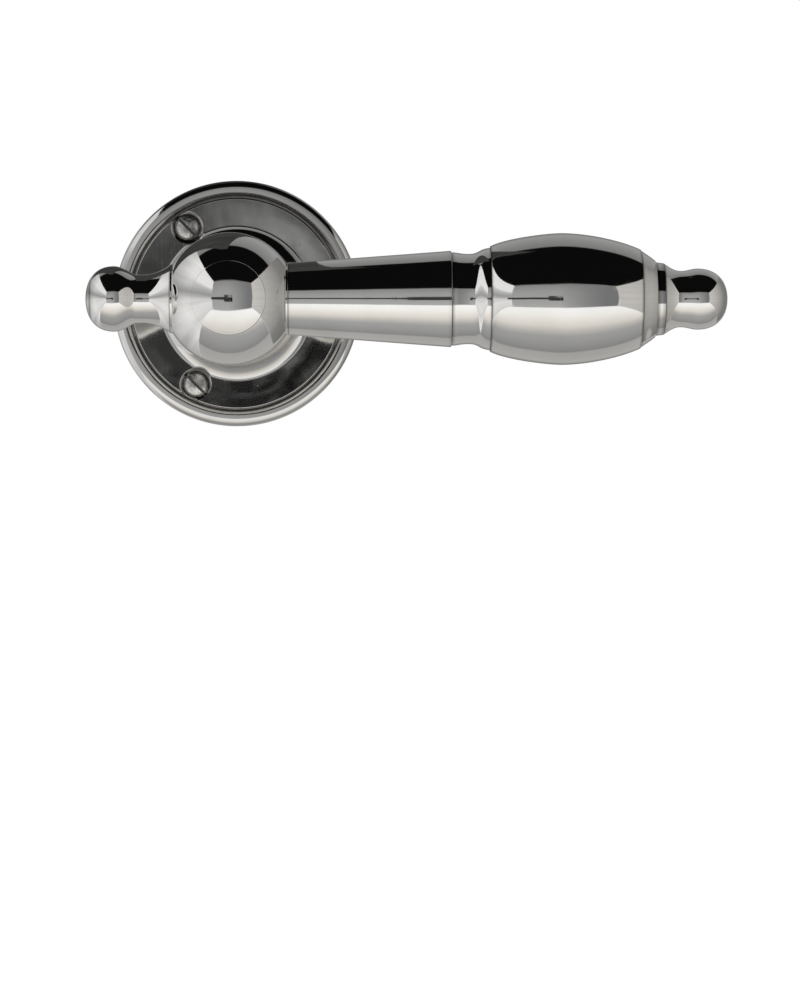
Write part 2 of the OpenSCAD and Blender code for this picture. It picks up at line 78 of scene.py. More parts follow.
ROSE_LOW, ROSE_HIGH = span("rose")
BALL_LOW, BALL_HIGH = span("hub_ball")
NECK_LOW, NECK_HIGH = span("neck")
BUSH_LOW, BUSH_HIGH = span("rose_bush")
PLATE_LOW, PLATE_HIGH = span("stop_plate")
SCREW_LOW, SCREW_HIGH = span("fixing_screw_1")
ROD_LOW, ROD_HIGH = span("tie_rod")
CAP_LOW, CAP_HIGH = span("hub_cap")
SPINDLE_LOW, SPINDLE_HIGH = span("spindle")

PROJECTION = -(ROD_LOW[1] + ROD_HIGH[1]) / 2
BALL_R = BALL_HIGH[2]
BOSS_TOP = -ROSE_LOW[1]
SCREW_CIRCLE_R = float(np.hypot(*(SCREW_LOW + SCREW_HIGH)[[0, 2]] / 2))
SCREW_HEAD_R = (SCREW_HIGH[0] - SCREW_LOW[0]) / 2
SPINDLE_W = SPINDLE_HIGH[0] - SPINDLE_LOW[0]

# Radii inside the rose: the spring's cavity, the bore round the stop plate, the bore round the bush's
# sleeve, and the pocket that the stop plate's lug swings in
CAVITY_R = 11.508 * MM
PLATE_BORE_R = 9.508 * MM
SLEEVE_R = 8.628 * MM
POCKET_R = PLATE_HIGH[2] + 0.3 * MM

# Radius of the neck's journal, diameter of the spring's wire, and height of the screw slots' floors above
# the top of the heads' cones
JOURNAL_R = 7.508 * MM
SPRING_WIRE = 1.8 * MM
SLOT_FLOOR = 0.02 * MM

# Where the camera stands, which way it looks, and the dark sheets that the polished faces mirror, each as
# a corner and its two sides; the camera's sheets glow with painted reflection patches
CAMERA_PLACE = (0.0209, -0.848, -0.0141)
CAMERA_AIM = (0.01852, 1.0, -0.0354)
BEHIND_CAMERA = -1.65
CAMERA_BODY = ((-0.165, BEHIND_CAMERA, -0.103), (0.268, 0, 0), (0, 0, 0.23))
CAMERA_ARM = ((-0.72, BEHIND_CAMERA, -0.04), (0.62, 0, 0), (0, 0, 0.095))
DARK_FLAG = ((-0.09, 0.014, 0.034), (0.106, 0, 0), (-0.06, 0, 0.8))


def direction_of(node):
    """Direction of a screw from the rose's centre, counterclockwise from the lever as seen from the room."""
    low, high = span(node)
    return math.atan2((low[2] + high[2]) / 2, (low[0] + high[0]) / 2) % (2 * math.pi)


SCREW_DIRECTIONS = np.array([direction_of(node) for node in SCREW_NODES])


# Sizes and colours that a user would change


def length(name, description, default):
    return bpy.props.FloatProperty(
        name=name, description=description, default=default, subtype="DISTANCE", unit="LENGTH", precision=5
    )


def angle(name, description, default):
    return bpy.props.FloatProperty(
        name=name, description=description, default=math.radians(default), subtype="ANGLE", unit="ROTATION"
    )


def share(name, description, default):
    return bpy.props.FloatProperty(name=name, description=description, default=default, subtype="FACTOR")


def colour(name, description, default):
    return bpy.props.FloatVectorProperty(
        name=name, description=description, default=default, subtype="COLOR", size=3
    )


class RoseSizes(bpy.types.PropertyGroup):
    rim_h: length("Rim height", "Height of the half-round rim", 2.6 * MM)
    rim_w: length("Rim width", "Width of the half-round rim", 3.4 * MM)
    crest_in: length("Crest distance", "Distance of the rim's crest in from the rose's edge", 2.7 * MM)
    groove_h: length("Groove height", "Height of the groove's floor above the door", 1.95 * MM)
    groove_w: length("Groove width", "Width of the groove inside the rim", 0.7 * MM)
    face_h: length("Face height", "Height of the dished face at its edges", 2.4 * MM)
    dish: angle("Dish slope", "Slope of the dished face at its two edges", 0.7)
    flare_w: length("Flare width", "Width of the boss's flared foot", 4.7 * MM)
    boss_wall: length("Boss wall", "Wall of the boss outside the stop pocket", 0.4 * MM)
    hole_r: length("Screw hole radius", "Radius of the fixing screws' holes", 1.65 * MM)
    sink_h: length("Countersink height", "Height where the screw hole starts to widen", 0.4 * MM)
    pocket_half: angle("Pocket half angle", "Half angle of the pocket that the stop lug swings in", 59)


class ScrewSizes(bpy.types.PropertyGroup):
    shank_r: length("Shank radius", "Radius of the plain shank", 1.5 * MM)
    root_r: length("Thread root radius", "Radius at the bottom of the thread", 1.08 * MM)
    pitch: length("Thread pitch", "Distance from one turn of the thread to the next", 1.3 * MM)
    slot_w: length("Slot width", "Width of the screwdriver slot", 0.6 * MM)
    slot_turn: angle("Slot direction", "Direction of the slots", -45)
    land: length("Rim height", "Height of the upright rim of the head", 0.15 * MM)
    dome: length("Dome height", "Height of the head's dome above its cone", 0.75 * MM)


class NeckSizes(bpy.types.PropertyGroup):
    foot_h: length("Foot ring height", "Height of the ring at the neck's foot", 2.9 * MM)
    low_waist_r: length("Lower waist radius", "Radius of the lower waist", 8.8 * MM)
    bead_place: length("Bead place", "Height of the bead above the door", 28 * MM)
    bead_r: length("Bead radius", "Radius of the bead", 10.75 * MM)
    bead_w: length("Bead width", "Width of the bead", 2.6 * MM)
    land_r: length("Land radius", "Radius of the lands beside the bead", 10.3 * MM)
    up_waist_r: length("Upper waist radius", "Radius of the upper waist", 8.1 * MM)
    top_ring_h: length("Top ring height", "Height of the ring under the ball", 2.2 * MM)
    top_ring_r: length("Top ring radius", "Radius of the ring under the ball", 9.4 * MM)
    tenon_r: length("Tenon radius", "Radius of the tenon in the ball", 5 * MM)
    tenon_len: length("Tenon length", "Length of the tenon in the ball", 6 * MM)
    grub_hole_r: length("Grub screw hole radius", "Radius of the hole for the grub screw", 2.55 * MM)


class LeverSizes(bpy.types.PropertyGroup):
    taper_r: length("Taper radius", "Radius of the taper at the ball", 7.5 * MM)
    cove_r: length("Cove radius", "Radius of the cove ring's first edge", 9.72 * MM)
    barrel_start_r: length("Barrel start radius", "Radius of the barrel at the cove ring", 11 * MM)
    barrel_slope: angle("Barrel slope", "Slope of the barrel where it leaves the cove ring", 29)
    barrel_end_r: length("Barrel end radius", "Radius of the barrel at the end collar", 10.35 * MM)
    ring_r: length("Collar ring radius", "Radius of the end collar's ring", 7.6 * MM)
    finial_waist_r: length("Finial waist radius", "Radius of the tip finial's waist", 5.88 * MM)
    finial_r: length("Finial knob radius", "Radius of the tip finial's knob", 6.38 * MM)
    tail_foot_r: length("Tail foot radius", "Radius of the tail's foot on the ball", 7.2 * MM)
    tail_waist_r: length("Tail waist radius", "Radius of the tail's waist", 5.03 * MM)
    tail_r: length("Tail knob radius", "Radius of the tail's knob", 6.82 * MM)
    bore_r: length("Rod bore radius", "Radius of the bore for the tie rod", 3.1 * MM)
    spigot_r: length("Spigot radius", "Radius of the tail knob's spigot", 3.5 * MM)
    cap_lip: length("Cap lip", "Overhang of the cap past its flat on the ball", 0.2 * MM)
    cap_spigot_r: length("Cap spigot radius", "Radius of the cap's spigot", 3 * MM)


class FinishLooks(bpy.types.PropertyGroup):
    nickel: colour("Nickel", "Colour of the clean polished nickel", (0.80, 0.793, 0.775))
    tarnish: colour("Tarnish", "Colour of nickel in the seams and grooves", (0.30, 0.285, 0.26))
    steel: colour("Steel", "Colour of the plain steel", (0.56, 0.56, 0.565))
    spring: colour("Spring steel", "Colour of the oiled spring steel", (0.25, 0.25, 0.27))
    black: colour("Black steel", "Colour of the blackened grub screw", (0.03, 0.03, 0.033))
    nylon: colour("Nylon", "Colour of the bush", (0.80, 0.77, 0.68))
    polish: share("Polish roughness", "Roughness of the cleanest polish", 0.035)
    smear: share("Smear roughness", "Roughness added by wiping marks", 0.07)


class StudioLooks(bpy.types.PropertyGroup):
    floor_h: length("Floor height", "Height of the floor", -0.2)
    lens: bpy.props.FloatProperty(name="Lens", description="Focal length in millimetres", default=135.7)
    sheen: share("Tent brightness", "Brightness of the light tent's white wall", 1.04)


GROUPS = {
    "lever_rose": RoseSizes,
    "lever_screws": ScrewSizes,
    "lever_neck": NeckSizes,
    "lever_grip": LeverSizes,
    "lever_finish": FinishLooks,
    "lever_studio": StudioLooks,
}


# Outlines


def curve(p, q, leave, arrive, out_share=0.35, in_share=0.35):
    """Cubic from p to q without p: it leaves at the angle leave and arrives at the angle arrive.

    The handles are out_share and in_share of the chord long, and
    point(t) = (1-t)^3 p + 3t(1-t)^2 u + 3t^2(1-t) v + t^3 q.
    """
    p, q = np.array(p), np.array(q)
    chord = np.linalg.norm(q - p)
    leave, arrive = math.radians(leave), math.radians(arrive)
    u = p + out_share * chord * np.array([math.cos(leave), math.sin(leave)])
    v = q - in_share * chord * np.array([math.cos(arrive), math.sin(arrive)])
    t = np.linspace(0, 1, CURVE_STEPS + 1)[1:, None]
    return (1 - t) ** 3 * p + 3 * t * (1 - t) ** 2 * u + 3 * t**2 * (1 - t) * v + t**3 * q


def eased(points, reach=0.12 * MM, guard=0.05 * MM):
    """Rounds the corners of an outline that turn more than 20 degrees.

    Each corner becomes point(t) = (1-t)^2 a + 2t(1-t) corner + t^2 b, where a and b lie `reach` away along
    its two sides, with one more point `guard` further out on each side, so that the shading of the sides
    stays flat up to the edge.
    """
    before, corner, after = points[:-2], points[1:-1], points[2:]
    back, ahead = before - corner, after - corner
    back_len = np.linalg.norm(back, axis=1, keepdims=True)
    ahead_len = np.linalg.norm(ahead, axis=1, keepdims=True)
    back, ahead = back / back_len, ahead / ahead_len
    turn = np.arccos(np.clip(-(back * ahead).sum(1, keepdims=True), -1, 1))
    room = np.minimum(back_len, ahead_len)
    cut = np.where(turn > math.radians(20), np.minimum(reach, 0.35 * room), 0)
    edge = np.where(cut > 0, cut + np.minimum(guard, 0.1 * room), 0)
    t = np.linspace(0, 1, 6)[:, None, None]
    bend = (1 - t) ** 2 * (corner + cut * back) + 2 * t * (1 - t) * corner + t**2 * (corner + cut * ahead)
    run = np.concatenate([(corner + edge * back)[None], bend, (corner + edge * ahead)[None]])
    run = run.transpose(1, 0, 2).reshape(-1, 2)
    whole = np.vstack([points[:1], run, points[-1:]])
    apart = np.linalg.norm(np.diff(whole, axis=0), axis=1) > 1e-7
    return whole[np.r_[True, apart]]


def lengths(points):
    """Distance along an outline to each of its points."""
    return np.r_[0, np.cumsum(np.linalg.norm(np.diff(points, axis=0), axis=1))]


def finely(points, longest=0.8 * MM):
    """Adds points to an outline so that none lie further apart than about `longest`."""
    place = lengths(points)
    extra = np.arange(0, place[-1], longest)
    near = np.abs(extra[:, None] - place[None, :]).min(1) < 0.2 * longest
    every = np.union1d(place, extra[~near])
    return np.stack([np.interp(every, place, points[:, k]) for k in (0, 1)], axis=1)


def nooks(points, reach=0.16 * MM):
    """How close each outline point is to an inward corner: exp(-(distance / reach)^2), from 0 to 1."""
    step = np.diff(points, axis=0)
    cross = step[:-1, 0] * step[1:, 1] - step[:-1, 1] * step[1:, 0]
    along = (step[:-1] * step[1:]).sum(1)
    turn = np.arctan2(cross, along)
    place = lengths(points)
    inward = place[1:-1][turn > math.radians(8)]
    if not len(inward):
        return np.zeros(len(points))
    gap = np.abs(place[:, None] - inward[None, :]).min(1)
    return np.exp(-((gap / reach) ** 2))


def outline(*stretches, ease=0.12 * MM):
    """Joins points and curves into one eased, finely divided outline."""
    points = np.vstack([np.atleast_2d(np.array(s, dtype=float)) for s in stretches])
    apart = np.linalg.norm(np.diff(points, axis=0), axis=1) > 1e-9
    return finely(eased(points[np.r_[True, apart]], ease))


# Places of the axes: each takes the place along the axis and two coordinates across it


def out_of_door(along, right, up):
    """The turning frame of the rose and the neck: along is the distance from the door."""
    return np.stack([right, -along, up], axis=-1)


def along_lever(along, right, up):
    """The turning frame of the lever: along is the distance from the spindle's axis."""
    return np.stack([along, -PROJECTION - right, up], axis=-1)


def along_tail(along, right, up):
    """The turning frame of the tail, which runs the other way."""
    return np.stack([-along, -PROJECTION + right, up], axis=-1)


# Grids of points, and the meshes made of them


def turned(points, axis, sides=SIDES, seams=()):
    """Surface of revolution: (place, radius) and the angle a give (place, radius cos a, radius sin a).

    Dirt also gathers at the joints with the next pieces, whose places are in seams.
    """
    a = np.linspace(0, 2 * np.pi, sides + 1)[None, :]
    place, radius = points[:, :1], points[:, 1:]
    grid = axis(place + 0 * a, radius * np.cos(a), radius * np.sin(a))
    dirt = nooks(points)
    for seam in seams:
        dirt = np.maximum(dirt, np.exp(-(((points[:, 0] - seam) / (0.2 * MM)) ** 2)))
    return {"points": grid, "along": lengths(points), "nook": dirt}


def cells(rows, columns, first, gaps=()):
    """Corner numbers of the four-sided cells of a grid whose first point has the number first.

    The columns of cells in gaps are left out.
    """
    kept = np.setdiff1d(np.arange(columns - 1), gaps)
    corner = first + np.arange(rows - 1)[:, None] * columns + kept[None, :]
    return np.stack([corner, corner + 1, corner + columns + 1, corner + columns], axis=-1).reshape(-1, 4)


def make_piece(name, grids, body, replaces, material):
    """Joins grids of points into one closed, smooth-shaded mesh that rides on a body."""
    points, faces, uv, nook, first = [], [], [], [], 0
    for grid in grids:
        place = grid["points"]
        rows, columns = place.shape[:2]
        points.append(place.reshape(-1, 3))
        faces.append(cells(rows, columns, first, grid.get("gaps", ())))
        along = grid.get("along", np.linspace(0, 10 * MM, rows))
        around = np.linspace(0, 1, columns)
        pair = np.broadcast_arrays(around[None, :], along[:, None] / (10 * MM))
        uv.append(np.stack(pair, -1).reshape(-1, 2))
        dirt = np.reshape(grid.get("nook", np.zeros(rows)), (rows, -1))
        nook.append(np.broadcast_to(dirt, (rows, columns)).ravel())
        first += rows * columns
    points, faces, uv = np.vstack(points), np.vstack(faces), np.vstack(uv)
    mesh = bpy.data.meshes.new(name)
    mesh.from_pydata(points.tolist(), [], faces.tolist())
    layer = mesh.uv_layers.new(name="turning")
    layer.data.foreach_set("uv", uv[faces.ravel()].astype(np.float32).ravel())
    attribute = mesh.attributes.new("nook", "FLOAT", "POINT")
    attribute.data.foreach_set("value", np.concatenate(nook).astype(np.float32))
    shell = bmesh.new()
    shell.from_mesh(mesh)
    bmesh.ops.remove_doubles(shell, verts=shell.verts, dist=2e-7)
    bmesh.ops.recalc_face_normals(shell, faces=shell.faces)
    open_edges = sum(1 for e in shell.edges if len(e.link_faces) != 2)
    shell.to_mesh(mesh)
    shell.free()
    if open_edges:
        print(f"{name}: {open_edges} edges are not shared by two faces")
    mesh.shade_smooth()
    mesh.set_sharp_from_angle(angle=SHARP_TURN)
    mesh.materials.append(material)
    piece = bpy.data.objects.new(name, mesh)
    bpy.context.scene.collection.objects.link(piece)
    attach(piece, body)
    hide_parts(*replaces)
    return piece


# Rose


def rose_outline(sizes):
    """Front outline of the rose, from its back edge over rim, groove, face and boss to the bush's seat."""
    rim_r = ROSE_HIGH[0]
    bush_r = BUSH_HIGH[0]
    boss_r = POCKET_R + sizes.boss_wall
    face_r = rim_r - sizes.rim_w - sizes.groove_w
    flare_r = boss_r + sizes.flare_w
    crest = (sizes.rim_h, rim_r - sizes.crest_in)
    slope = math.degrees(sizes.dish)
    face_in = (sizes.face_h, flare_r + 0.1 * MM)
    foot = (sizes.face_h + 0.3 * MM, flare_r)
    shoulder = (BOSS_TOP - 0.15 * MM, boss_r + 0.1 * MM)
    return outline(
        (0, rim_r - 0.3 * MM),
        (0.3 * MM, rim_r),
        (0.25 * sizes.rim_h, rim_r),
        curve((0.25 * sizes.rim_h, rim_r), crest, 0, -90, 0.5, 0.5),
        curve(crest, (sizes.groove_h, rim_r - sizes.rim_w), -90, -150, 0.4, 0.3),
        (sizes.groove_h, face_r + 0.2 * MM),
        (sizes.face_h, face_r),
        curve((sizes.face_h, face_r), face_in, -90 - slope, slope - 90, 0.4, 0.4),
        foot,
        curve(foot, shoulder, -88, -8, 0.37, 0.32),
        (BOSS_TOP, boss_r - 0.05 * MM),
        (BOSS_TOP, bush_r + 0.02 * MM),
        ease=0.1 * MM,
    )


def hole_half_angle(radius, reach, circle):
    """Half angle, seen from the rose's centre, of a hole of radius reach whose centre lies `circle` out.

    A point at radius r and angle a from the hole's direction lies on its edge where
    reach^2 = r^2 + circle^2 - 2 r circle cos a. Outside the hole the answer is 0.
    """
    cosine = (radius**2 + circle**2 - reach**2) / (2 * radius * circle)
    return np.arccos(np.clip(cosine, -1, 1))


def rose_surface(sizes, screws, wire_w):
    """Whole skin of the rose, as rows of (height, radius) by columns of angle.

    Columns between two screws close up towards the holes: with h the hole's half angle in a row, a column
    at the angle d from a screw moves to h + (60 - h) d / 60 degrees, on both sides of the screw.
    """
    front = rose_outline(sizes)
    # Rows that sample the countersinks' edges, closer together where an edge runs along the row
    height, radius = front[:, 0], front[:, 1]
    rim_top = int(np.argmax(height > 0.99 * sizes.rim_h))
    boss_foot = int(np.argmin(np.abs(radius - 14.2 * MM)))
    descending = slice(rim_top, boss_foot)
    face_r, face_z = radius[descending][::-1], height[descending][::-1]
    scan = np.linspace(face_r[0], face_r[-1], 20001)
    scan_reach = sizes.hole_r + np.interp(scan, face_r, face_z) - sizes.sink_h
    inside = hole_half_angle(scan, scan_reach, SCREW_CIRCLE_R) > 0
    first, last = scan[inside][0], scan[inside][-1]
    turn = np.linspace(0, np.pi, 65)
    wanted = (first + last) / 2 - (last - first) / 2 * np.cos(turn)
    features = face_r[(face_r > first) & (face_r < last)]
    gap = np.abs(wanted[:, None] - features[None, :]).min(1)
    wanted = np.union1d(wanted[1:-1][gap[1:-1] > 0.03 * MM], np.r_[features, first, last])
    outside = face_r[(face_r < first - 1e-7) | (face_r > last + 1e-7)]
    rows_r = np.union1d(outside, wanted)[::-1]
    rows_z = np.interp(rows_r, face_r, face_z)
    top = np.vstack([front[: descending.start], np.stack([rows_z, rows_r], 1), front[descending.stop :]])
    edge_reach = sizes.hole_r + top[:, 0] - sizes.sink_h
    in_face = np.zeros(len(top), bool)
    in_face[descending.start : descending.start + len(rows_r)] = True
    within = in_face & (top[:, 1] > first + 1e-9) & (top[:, 1] < last - 1e-9)
    top_half = np.where(within, hole_half_angle(top[:, 1], edge_reach, SCREW_CIRCLE_R), 0)

    # The inside, from the boss's top down to the door's face: seat of the bush, pocket, cavity and slot
    flange_seat = -BUSH_LOW[1] - 0.6 * MM
    plate_z = -PLATE_HIGH[1] - 0.1 * MM
    web_z = -PLATE_LOW[1] + 0.1 * MM
    slot_r = CAVITY_R + 2.2 * MM
    slot_z = 2.4 * MM
    inner = np.array([
        [flange_seat, BUSH_HIGH[0] + 0.02 * MM, 0, 0],
        [flange_seat, SLEEVE_R, 0, 0],
        [web_z, SLEEVE_R, 0, 0],
        [web_z, PLATE_BORE_R, 0, 0],
        [web_z, PLATE_BORE_R, POCKET_R - PLATE_BORE_R, 0],
        [plate_z, PLATE_BORE_R, POCKET_R - PLATE_BORE_R, 0],
        [plate_z, CAVITY_R, 0, 0],
        [slot_z, CAVITY_R, 0, 0],
        [slot_z, CAVITY_R, 0, slot_r - CAVITY_R],
        [0, CAVITY_R, 0, slot_r - CAVITY_R],
        [0, slot_r, 0, 0],
    ])

    # The back face: rows that meet the screw holes at the same angles as the countersinks' edges
    edge_rows = np.flatnonzero(top_half > 0)
    ends = np.r_[edge_rows[0] - 1, edge_rows, edge_rows[-1] + 1]
    edge_x = top[ends, 1] * np.cos(top_half[ends])
    edge_y = top[ends, 1] * np.sin(top_half[ends])
    about = np.arctan2(edge_y, edge_x - SCREW_CIRCLE_R)
    about[0], about[-1] = 0, np.pi
    about_back = np.sort(about)
    back_x = SCREW_CIRCLE_R + sizes.hole_r * np.cos(about_back)
    back_y = sizes.hole_r * np.sin(about_back)
    back_r, back_half = np.hypot(back_x, back_y)[::-1], np.arctan2(back_y, back_x)[::-1]
    plain_in = np.linspace(slot_r, back_r[0], 8)[1:-1]
    plain_out = np.linspace(back_r[-1], top[0, 1], 8)[1:]
    back = np.r_[plain_in, back_r, plain_out]
    back_half = np.r_[0 * plain_in, back_half, 0 * plain_out]

    place = np.r_[top[:, 0], inner[:, 0], 0 * back]
    base = np.r_[top[:, 1], inner[:, 1], back]
    pocket_more = np.r_[0 * top[:, 1], inner[:, 2], 0 * back]
    slot_more = np.r_[0 * top[:, 1], inner[:, 3], 0 * back]
    half = np.r_[top_half, 0 * inner[:, 0], back_half]

    column, side, in_pocket, in_slot = rose_columns(sizes, screws, wire_w)
    nearest = screws[np.abs(wrapped(column[:, None] - screws[None, :])).argmin(1)]
    offset = wrapped(column - nearest)
    sector = np.pi / len(screws)
    offset = np.where(side != 0, 0, offset)
    sign = np.where(side != 0, side, np.sign(offset))
    from_screw = half[:, None] + (sector - half[:, None]) * np.abs(offset)[None, :] / sector
    a = nearest[None, :] + sign[None, :] * from_screw
    r = base[:, None] + pocket_more[:, None] * in_pocket[None, :] + slot_more[:, None] * in_slot[None, :]
    path = np.stack([place, base], 1)
    skin = {
        "points": out_of_door(place[:, None] + 0 * a, r * np.cos(a), r * np.sin(a)),
        "along": lengths(path),
        "nook": nooks(path),
        "gaps": np.flatnonzero((side[:-1] < 0) & (side[1:] > 0)),
    }

    # The countersinks and holes: from each edge point straight in to the hole's own radius
    loop_front = np.r_[about, 2 * np.pi - about[::-1]][None, :]
    loop_back = np.r_[about_back, 2 * np.pi - about_back[::-1]][None, :]
    edge_z = np.r_[top[ends, 0], top[ends, 0][::-1]]
    loop_x = np.r_[edge_x, edge_x[::-1]] - SCREW_CIRCLE_R
    loop_y = np.r_[edge_y, -edge_y[::-1]]
    true_reach = np.hypot(loop_x, loop_y)
    s = np.linspace(0, 1, 17)[:, None]
    rho = true_reach[None, :] * (1 - s) + sizes.hole_r * s
    z = edge_z[None, :] * (1 - s) + sizes.sink_h * s
    turn_in = np.vstack([loop_front * (1 - s) + loop_back * s, loop_back])
    rho = np.vstack([rho, np.full((1, rho.shape[1]), sizes.hole_r)])
    z = np.vstack([z, np.zeros((1, z.shape[1]))])
    holes = []
    for screw in screws:
        x = SCREW_CIRCLE_R + rho * np.cos(turn_in)
        y = rho * np.sin(turn_in)
        c, d = math.cos(screw), math.sin(screw)
        dark = np.clip((true_reach[None, :] - 0.22 * MM - rho) / (0.1 * MM), 0, 1)
        holes.append({"points": out_of_door(z, x * c - y * d, x * d + y * c), "nook": dark})
    return [skin] + holes


def wrapped(a):
    """The same angle between -pi and pi."""
    return (a + np.pi) % (2 * np.pi) - np.pi


def rose_columns(sizes, screws, wire_w):
    """Angles of the rose's columns, the side each takes of a screw, and whether it is in the pocket or slot.

    A column stands twice, once for each side, at every screw and at every edge of the pocket and the slot.
    """
    slot_half = math.asin((wire_w / 2 + 0.15 * MM) / CAVITY_R)
    up, down = math.radians(90), math.radians(270)
    pocket = np.array([up - sizes.pocket_half, up + sizes.pocket_half])
    slot = np.array([down - slot_half, down + slot_half])
    doubled = np.r_[pocket, slot]
    even = np.linspace(0, 2 * np.pi, 241)[:-1]
    apart = np.abs(wrapped(even[:, None] - np.r_[doubled, screws][None, :])).min(1) > math.radians(0.3)
    even = even[apart]
    tiny = 1e-9
    a = np.r_[even, screws, screws, doubled - tiny, doubled + tiny]
    side = np.r_[0 * even, np.full(len(screws), -1.0), np.full(len(screws), 1.0), 0 * doubled, 0 * doubled]
    key = a + side * tiny
    order = np.argsort(key % (2 * np.pi))
    a, side = a[order], side[order]
    a, side = np.r_[a, a[0]], np.r_[side, side[0]]
    in_pocket = (a % (2 * np.pi) > pocket[0]) & (a % (2 * np.pi) < pocket[1])
    in_slot = (a % (2 * np.pi) > slot[0]) & (a % (2 * np.pi) < slot[1])
    return a, side, in_pocket.astype(float), in_slot.astype(float)


# Fixing screws


def screw_outline(sizes):
    """Side of a screw from its tip to its head's rim, as (place, radius), the head's cone topping at 0."""
    head_top = -SCREW_LOW[1] - sizes.dome
    tip = -(SCREW_HIGH[1] + head_top)
    cone = SCREW_HEAD_R - sizes.shank_r
    smooth_from = -6.5 * MM
    shank = np.linspace(smooth_from, -cone, 5)
    thread = np.linspace(tip + 0.25 * MM, smooth_from, 220)
    tip_len = 3.2 * MM
    slim = np.clip((thread - tip) / tip_len, 0.05, 1)
    ramp = np.clip((smooth_from - thread) / (1.2 * MM), 0, 1)
    return head_top, tip, thread, slim, ramp, shank


def screw_surface(sizes, direction):
    """Skin of a slotted raised countersunk wood screw.

    The thread's radius is root + (shank - root) * ridge, where ridge = max(0, 1 - |2 f - 1| / 0.42) and f
    is the fraction of place / pitch + angle / turn. The head's top is dome(x, y) = land + (dome - land)
    (1 - rho^2 / R^2), less the slot, in rows that run along the slot.
    """
    head_top, tip, thread, slim, ramp, shank = screw_outline(sizes)
    corner = math.asin(sizes.slot_w / 2 / SCREW_HEAD_R)
    across = np.linspace(corner, np.pi - corner, 47)
    in_slot = np.linspace(-corner, corner, 5)
    a = np.r_[across, np.pi + in_slot, np.pi + across, 2 * np.pi + in_slot, 2 * np.pi + across[0]]
    upright, cut = np.zeros(len(across), bool), np.ones(len(in_slot), bool)
    slotted = np.r_[upright, cut, upright, cut, False]
    f = (thread[:, None] / sizes.pitch + a[None, :] / (2 * np.pi)) % 1
    ridge = np.clip(1 - np.abs(2 * f - 1) / 0.42, 0, 1)
    core = sizes.root_r * slim[:, None] + (sizes.shank_r - sizes.root_r) * (1 - ramp[:, None])
    crest = (sizes.shank_r - 0.04 * MM - sizes.root_r) * np.minimum(slim * 1.6, 1)[:, None]
    threaded = core + crest * ridge * ramp[:, None]
    head = [[0, SCREW_HEAD_R - SLOT_FLOOR], [SLOT_FLOOR, SCREW_HEAD_R]]
    plain = np.array([[p, sizes.shank_r] for p in shank] + head)
    place = np.r_[tip, thread, plain[:, 0]]
    radius = np.vstack([np.zeros((1, len(a))), threaded, np.repeat(plain[:, 1:], len(a), 1)])
    top_row = np.where(slotted, SLOT_FLOOR, sizes.land)[None, :]
    place = np.vstack([np.repeat(place[:, None], len(a), 1), top_row])
    radius = np.vstack([radius, np.full((1, len(a)), SCREW_HEAD_R)])
    side = turned_screw(place, radius * np.cos(a), radius * np.sin(a), head_top, sizes.slot_turn, direction)

    def dome(x, y):
        rho = np.hypot(x, y) / SCREW_HEAD_R
        return sizes.land + (sizes.dome - sizes.land) * (1 - rho**2)

    grids = [side]
    s = np.linspace(-1, 1, 33)[None, :]
    rows = across[:24, None]
    floor_rows = in_slot[:, None]
    for flip in (1, -1):
        x = SCREW_HEAD_R * np.cos(rows) * s * flip
        y = SCREW_HEAD_R * np.sin(rows) * flip + 0 * s
        top = turned_screw(dome(x, y), x, y, head_top, sizes.slot_turn, direction)
        grids.append({**top, "nook": np.clip((np.hypot(x, y) / SCREW_HEAD_R - 0.8) / 0.1, 0, 1)})
        wall_x = np.repeat(x[:1], 2, 0)
        wall_y = np.repeat(y[:1], 2, 0)
        wall_z = np.vstack([dome(x[:1], y[:1]), np.full((1, x.shape[1]), SLOT_FLOOR)])
        wall = turned_screw(wall_z, wall_x, wall_y, head_top, sizes.slot_turn, direction)
        grids.append({**wall, "nook": np.array([0.0, 1.0])})
    x = SCREW_HEAD_R * np.cos(floor_rows) * s
    y = SCREW_HEAD_R * np.sin(floor_rows) + 0 * s
    floor = turned_screw(0 * x + SLOT_FLOOR, x, y, head_top, sizes.slot_turn, direction)
    grids.append({**floor, "nook": np.ones(len(floor_rows))})
    return grids


def turned_screw(place, x, y, head_top, slot_turn, direction):
    """A grid of a screw, its slot turned and its axis set on the screw circle."""
    c, d = math.cos(slot_turn), math.sin(slot_turn)
    right = x * c - y * d + SCREW_CIRCLE_R * math.cos(direction)
    up = x * d + y * c + SCREW_CIRCLE_R * math.sin(direction)
    return {"points": out_of_door(head_top + place, right, up)}


# Neck


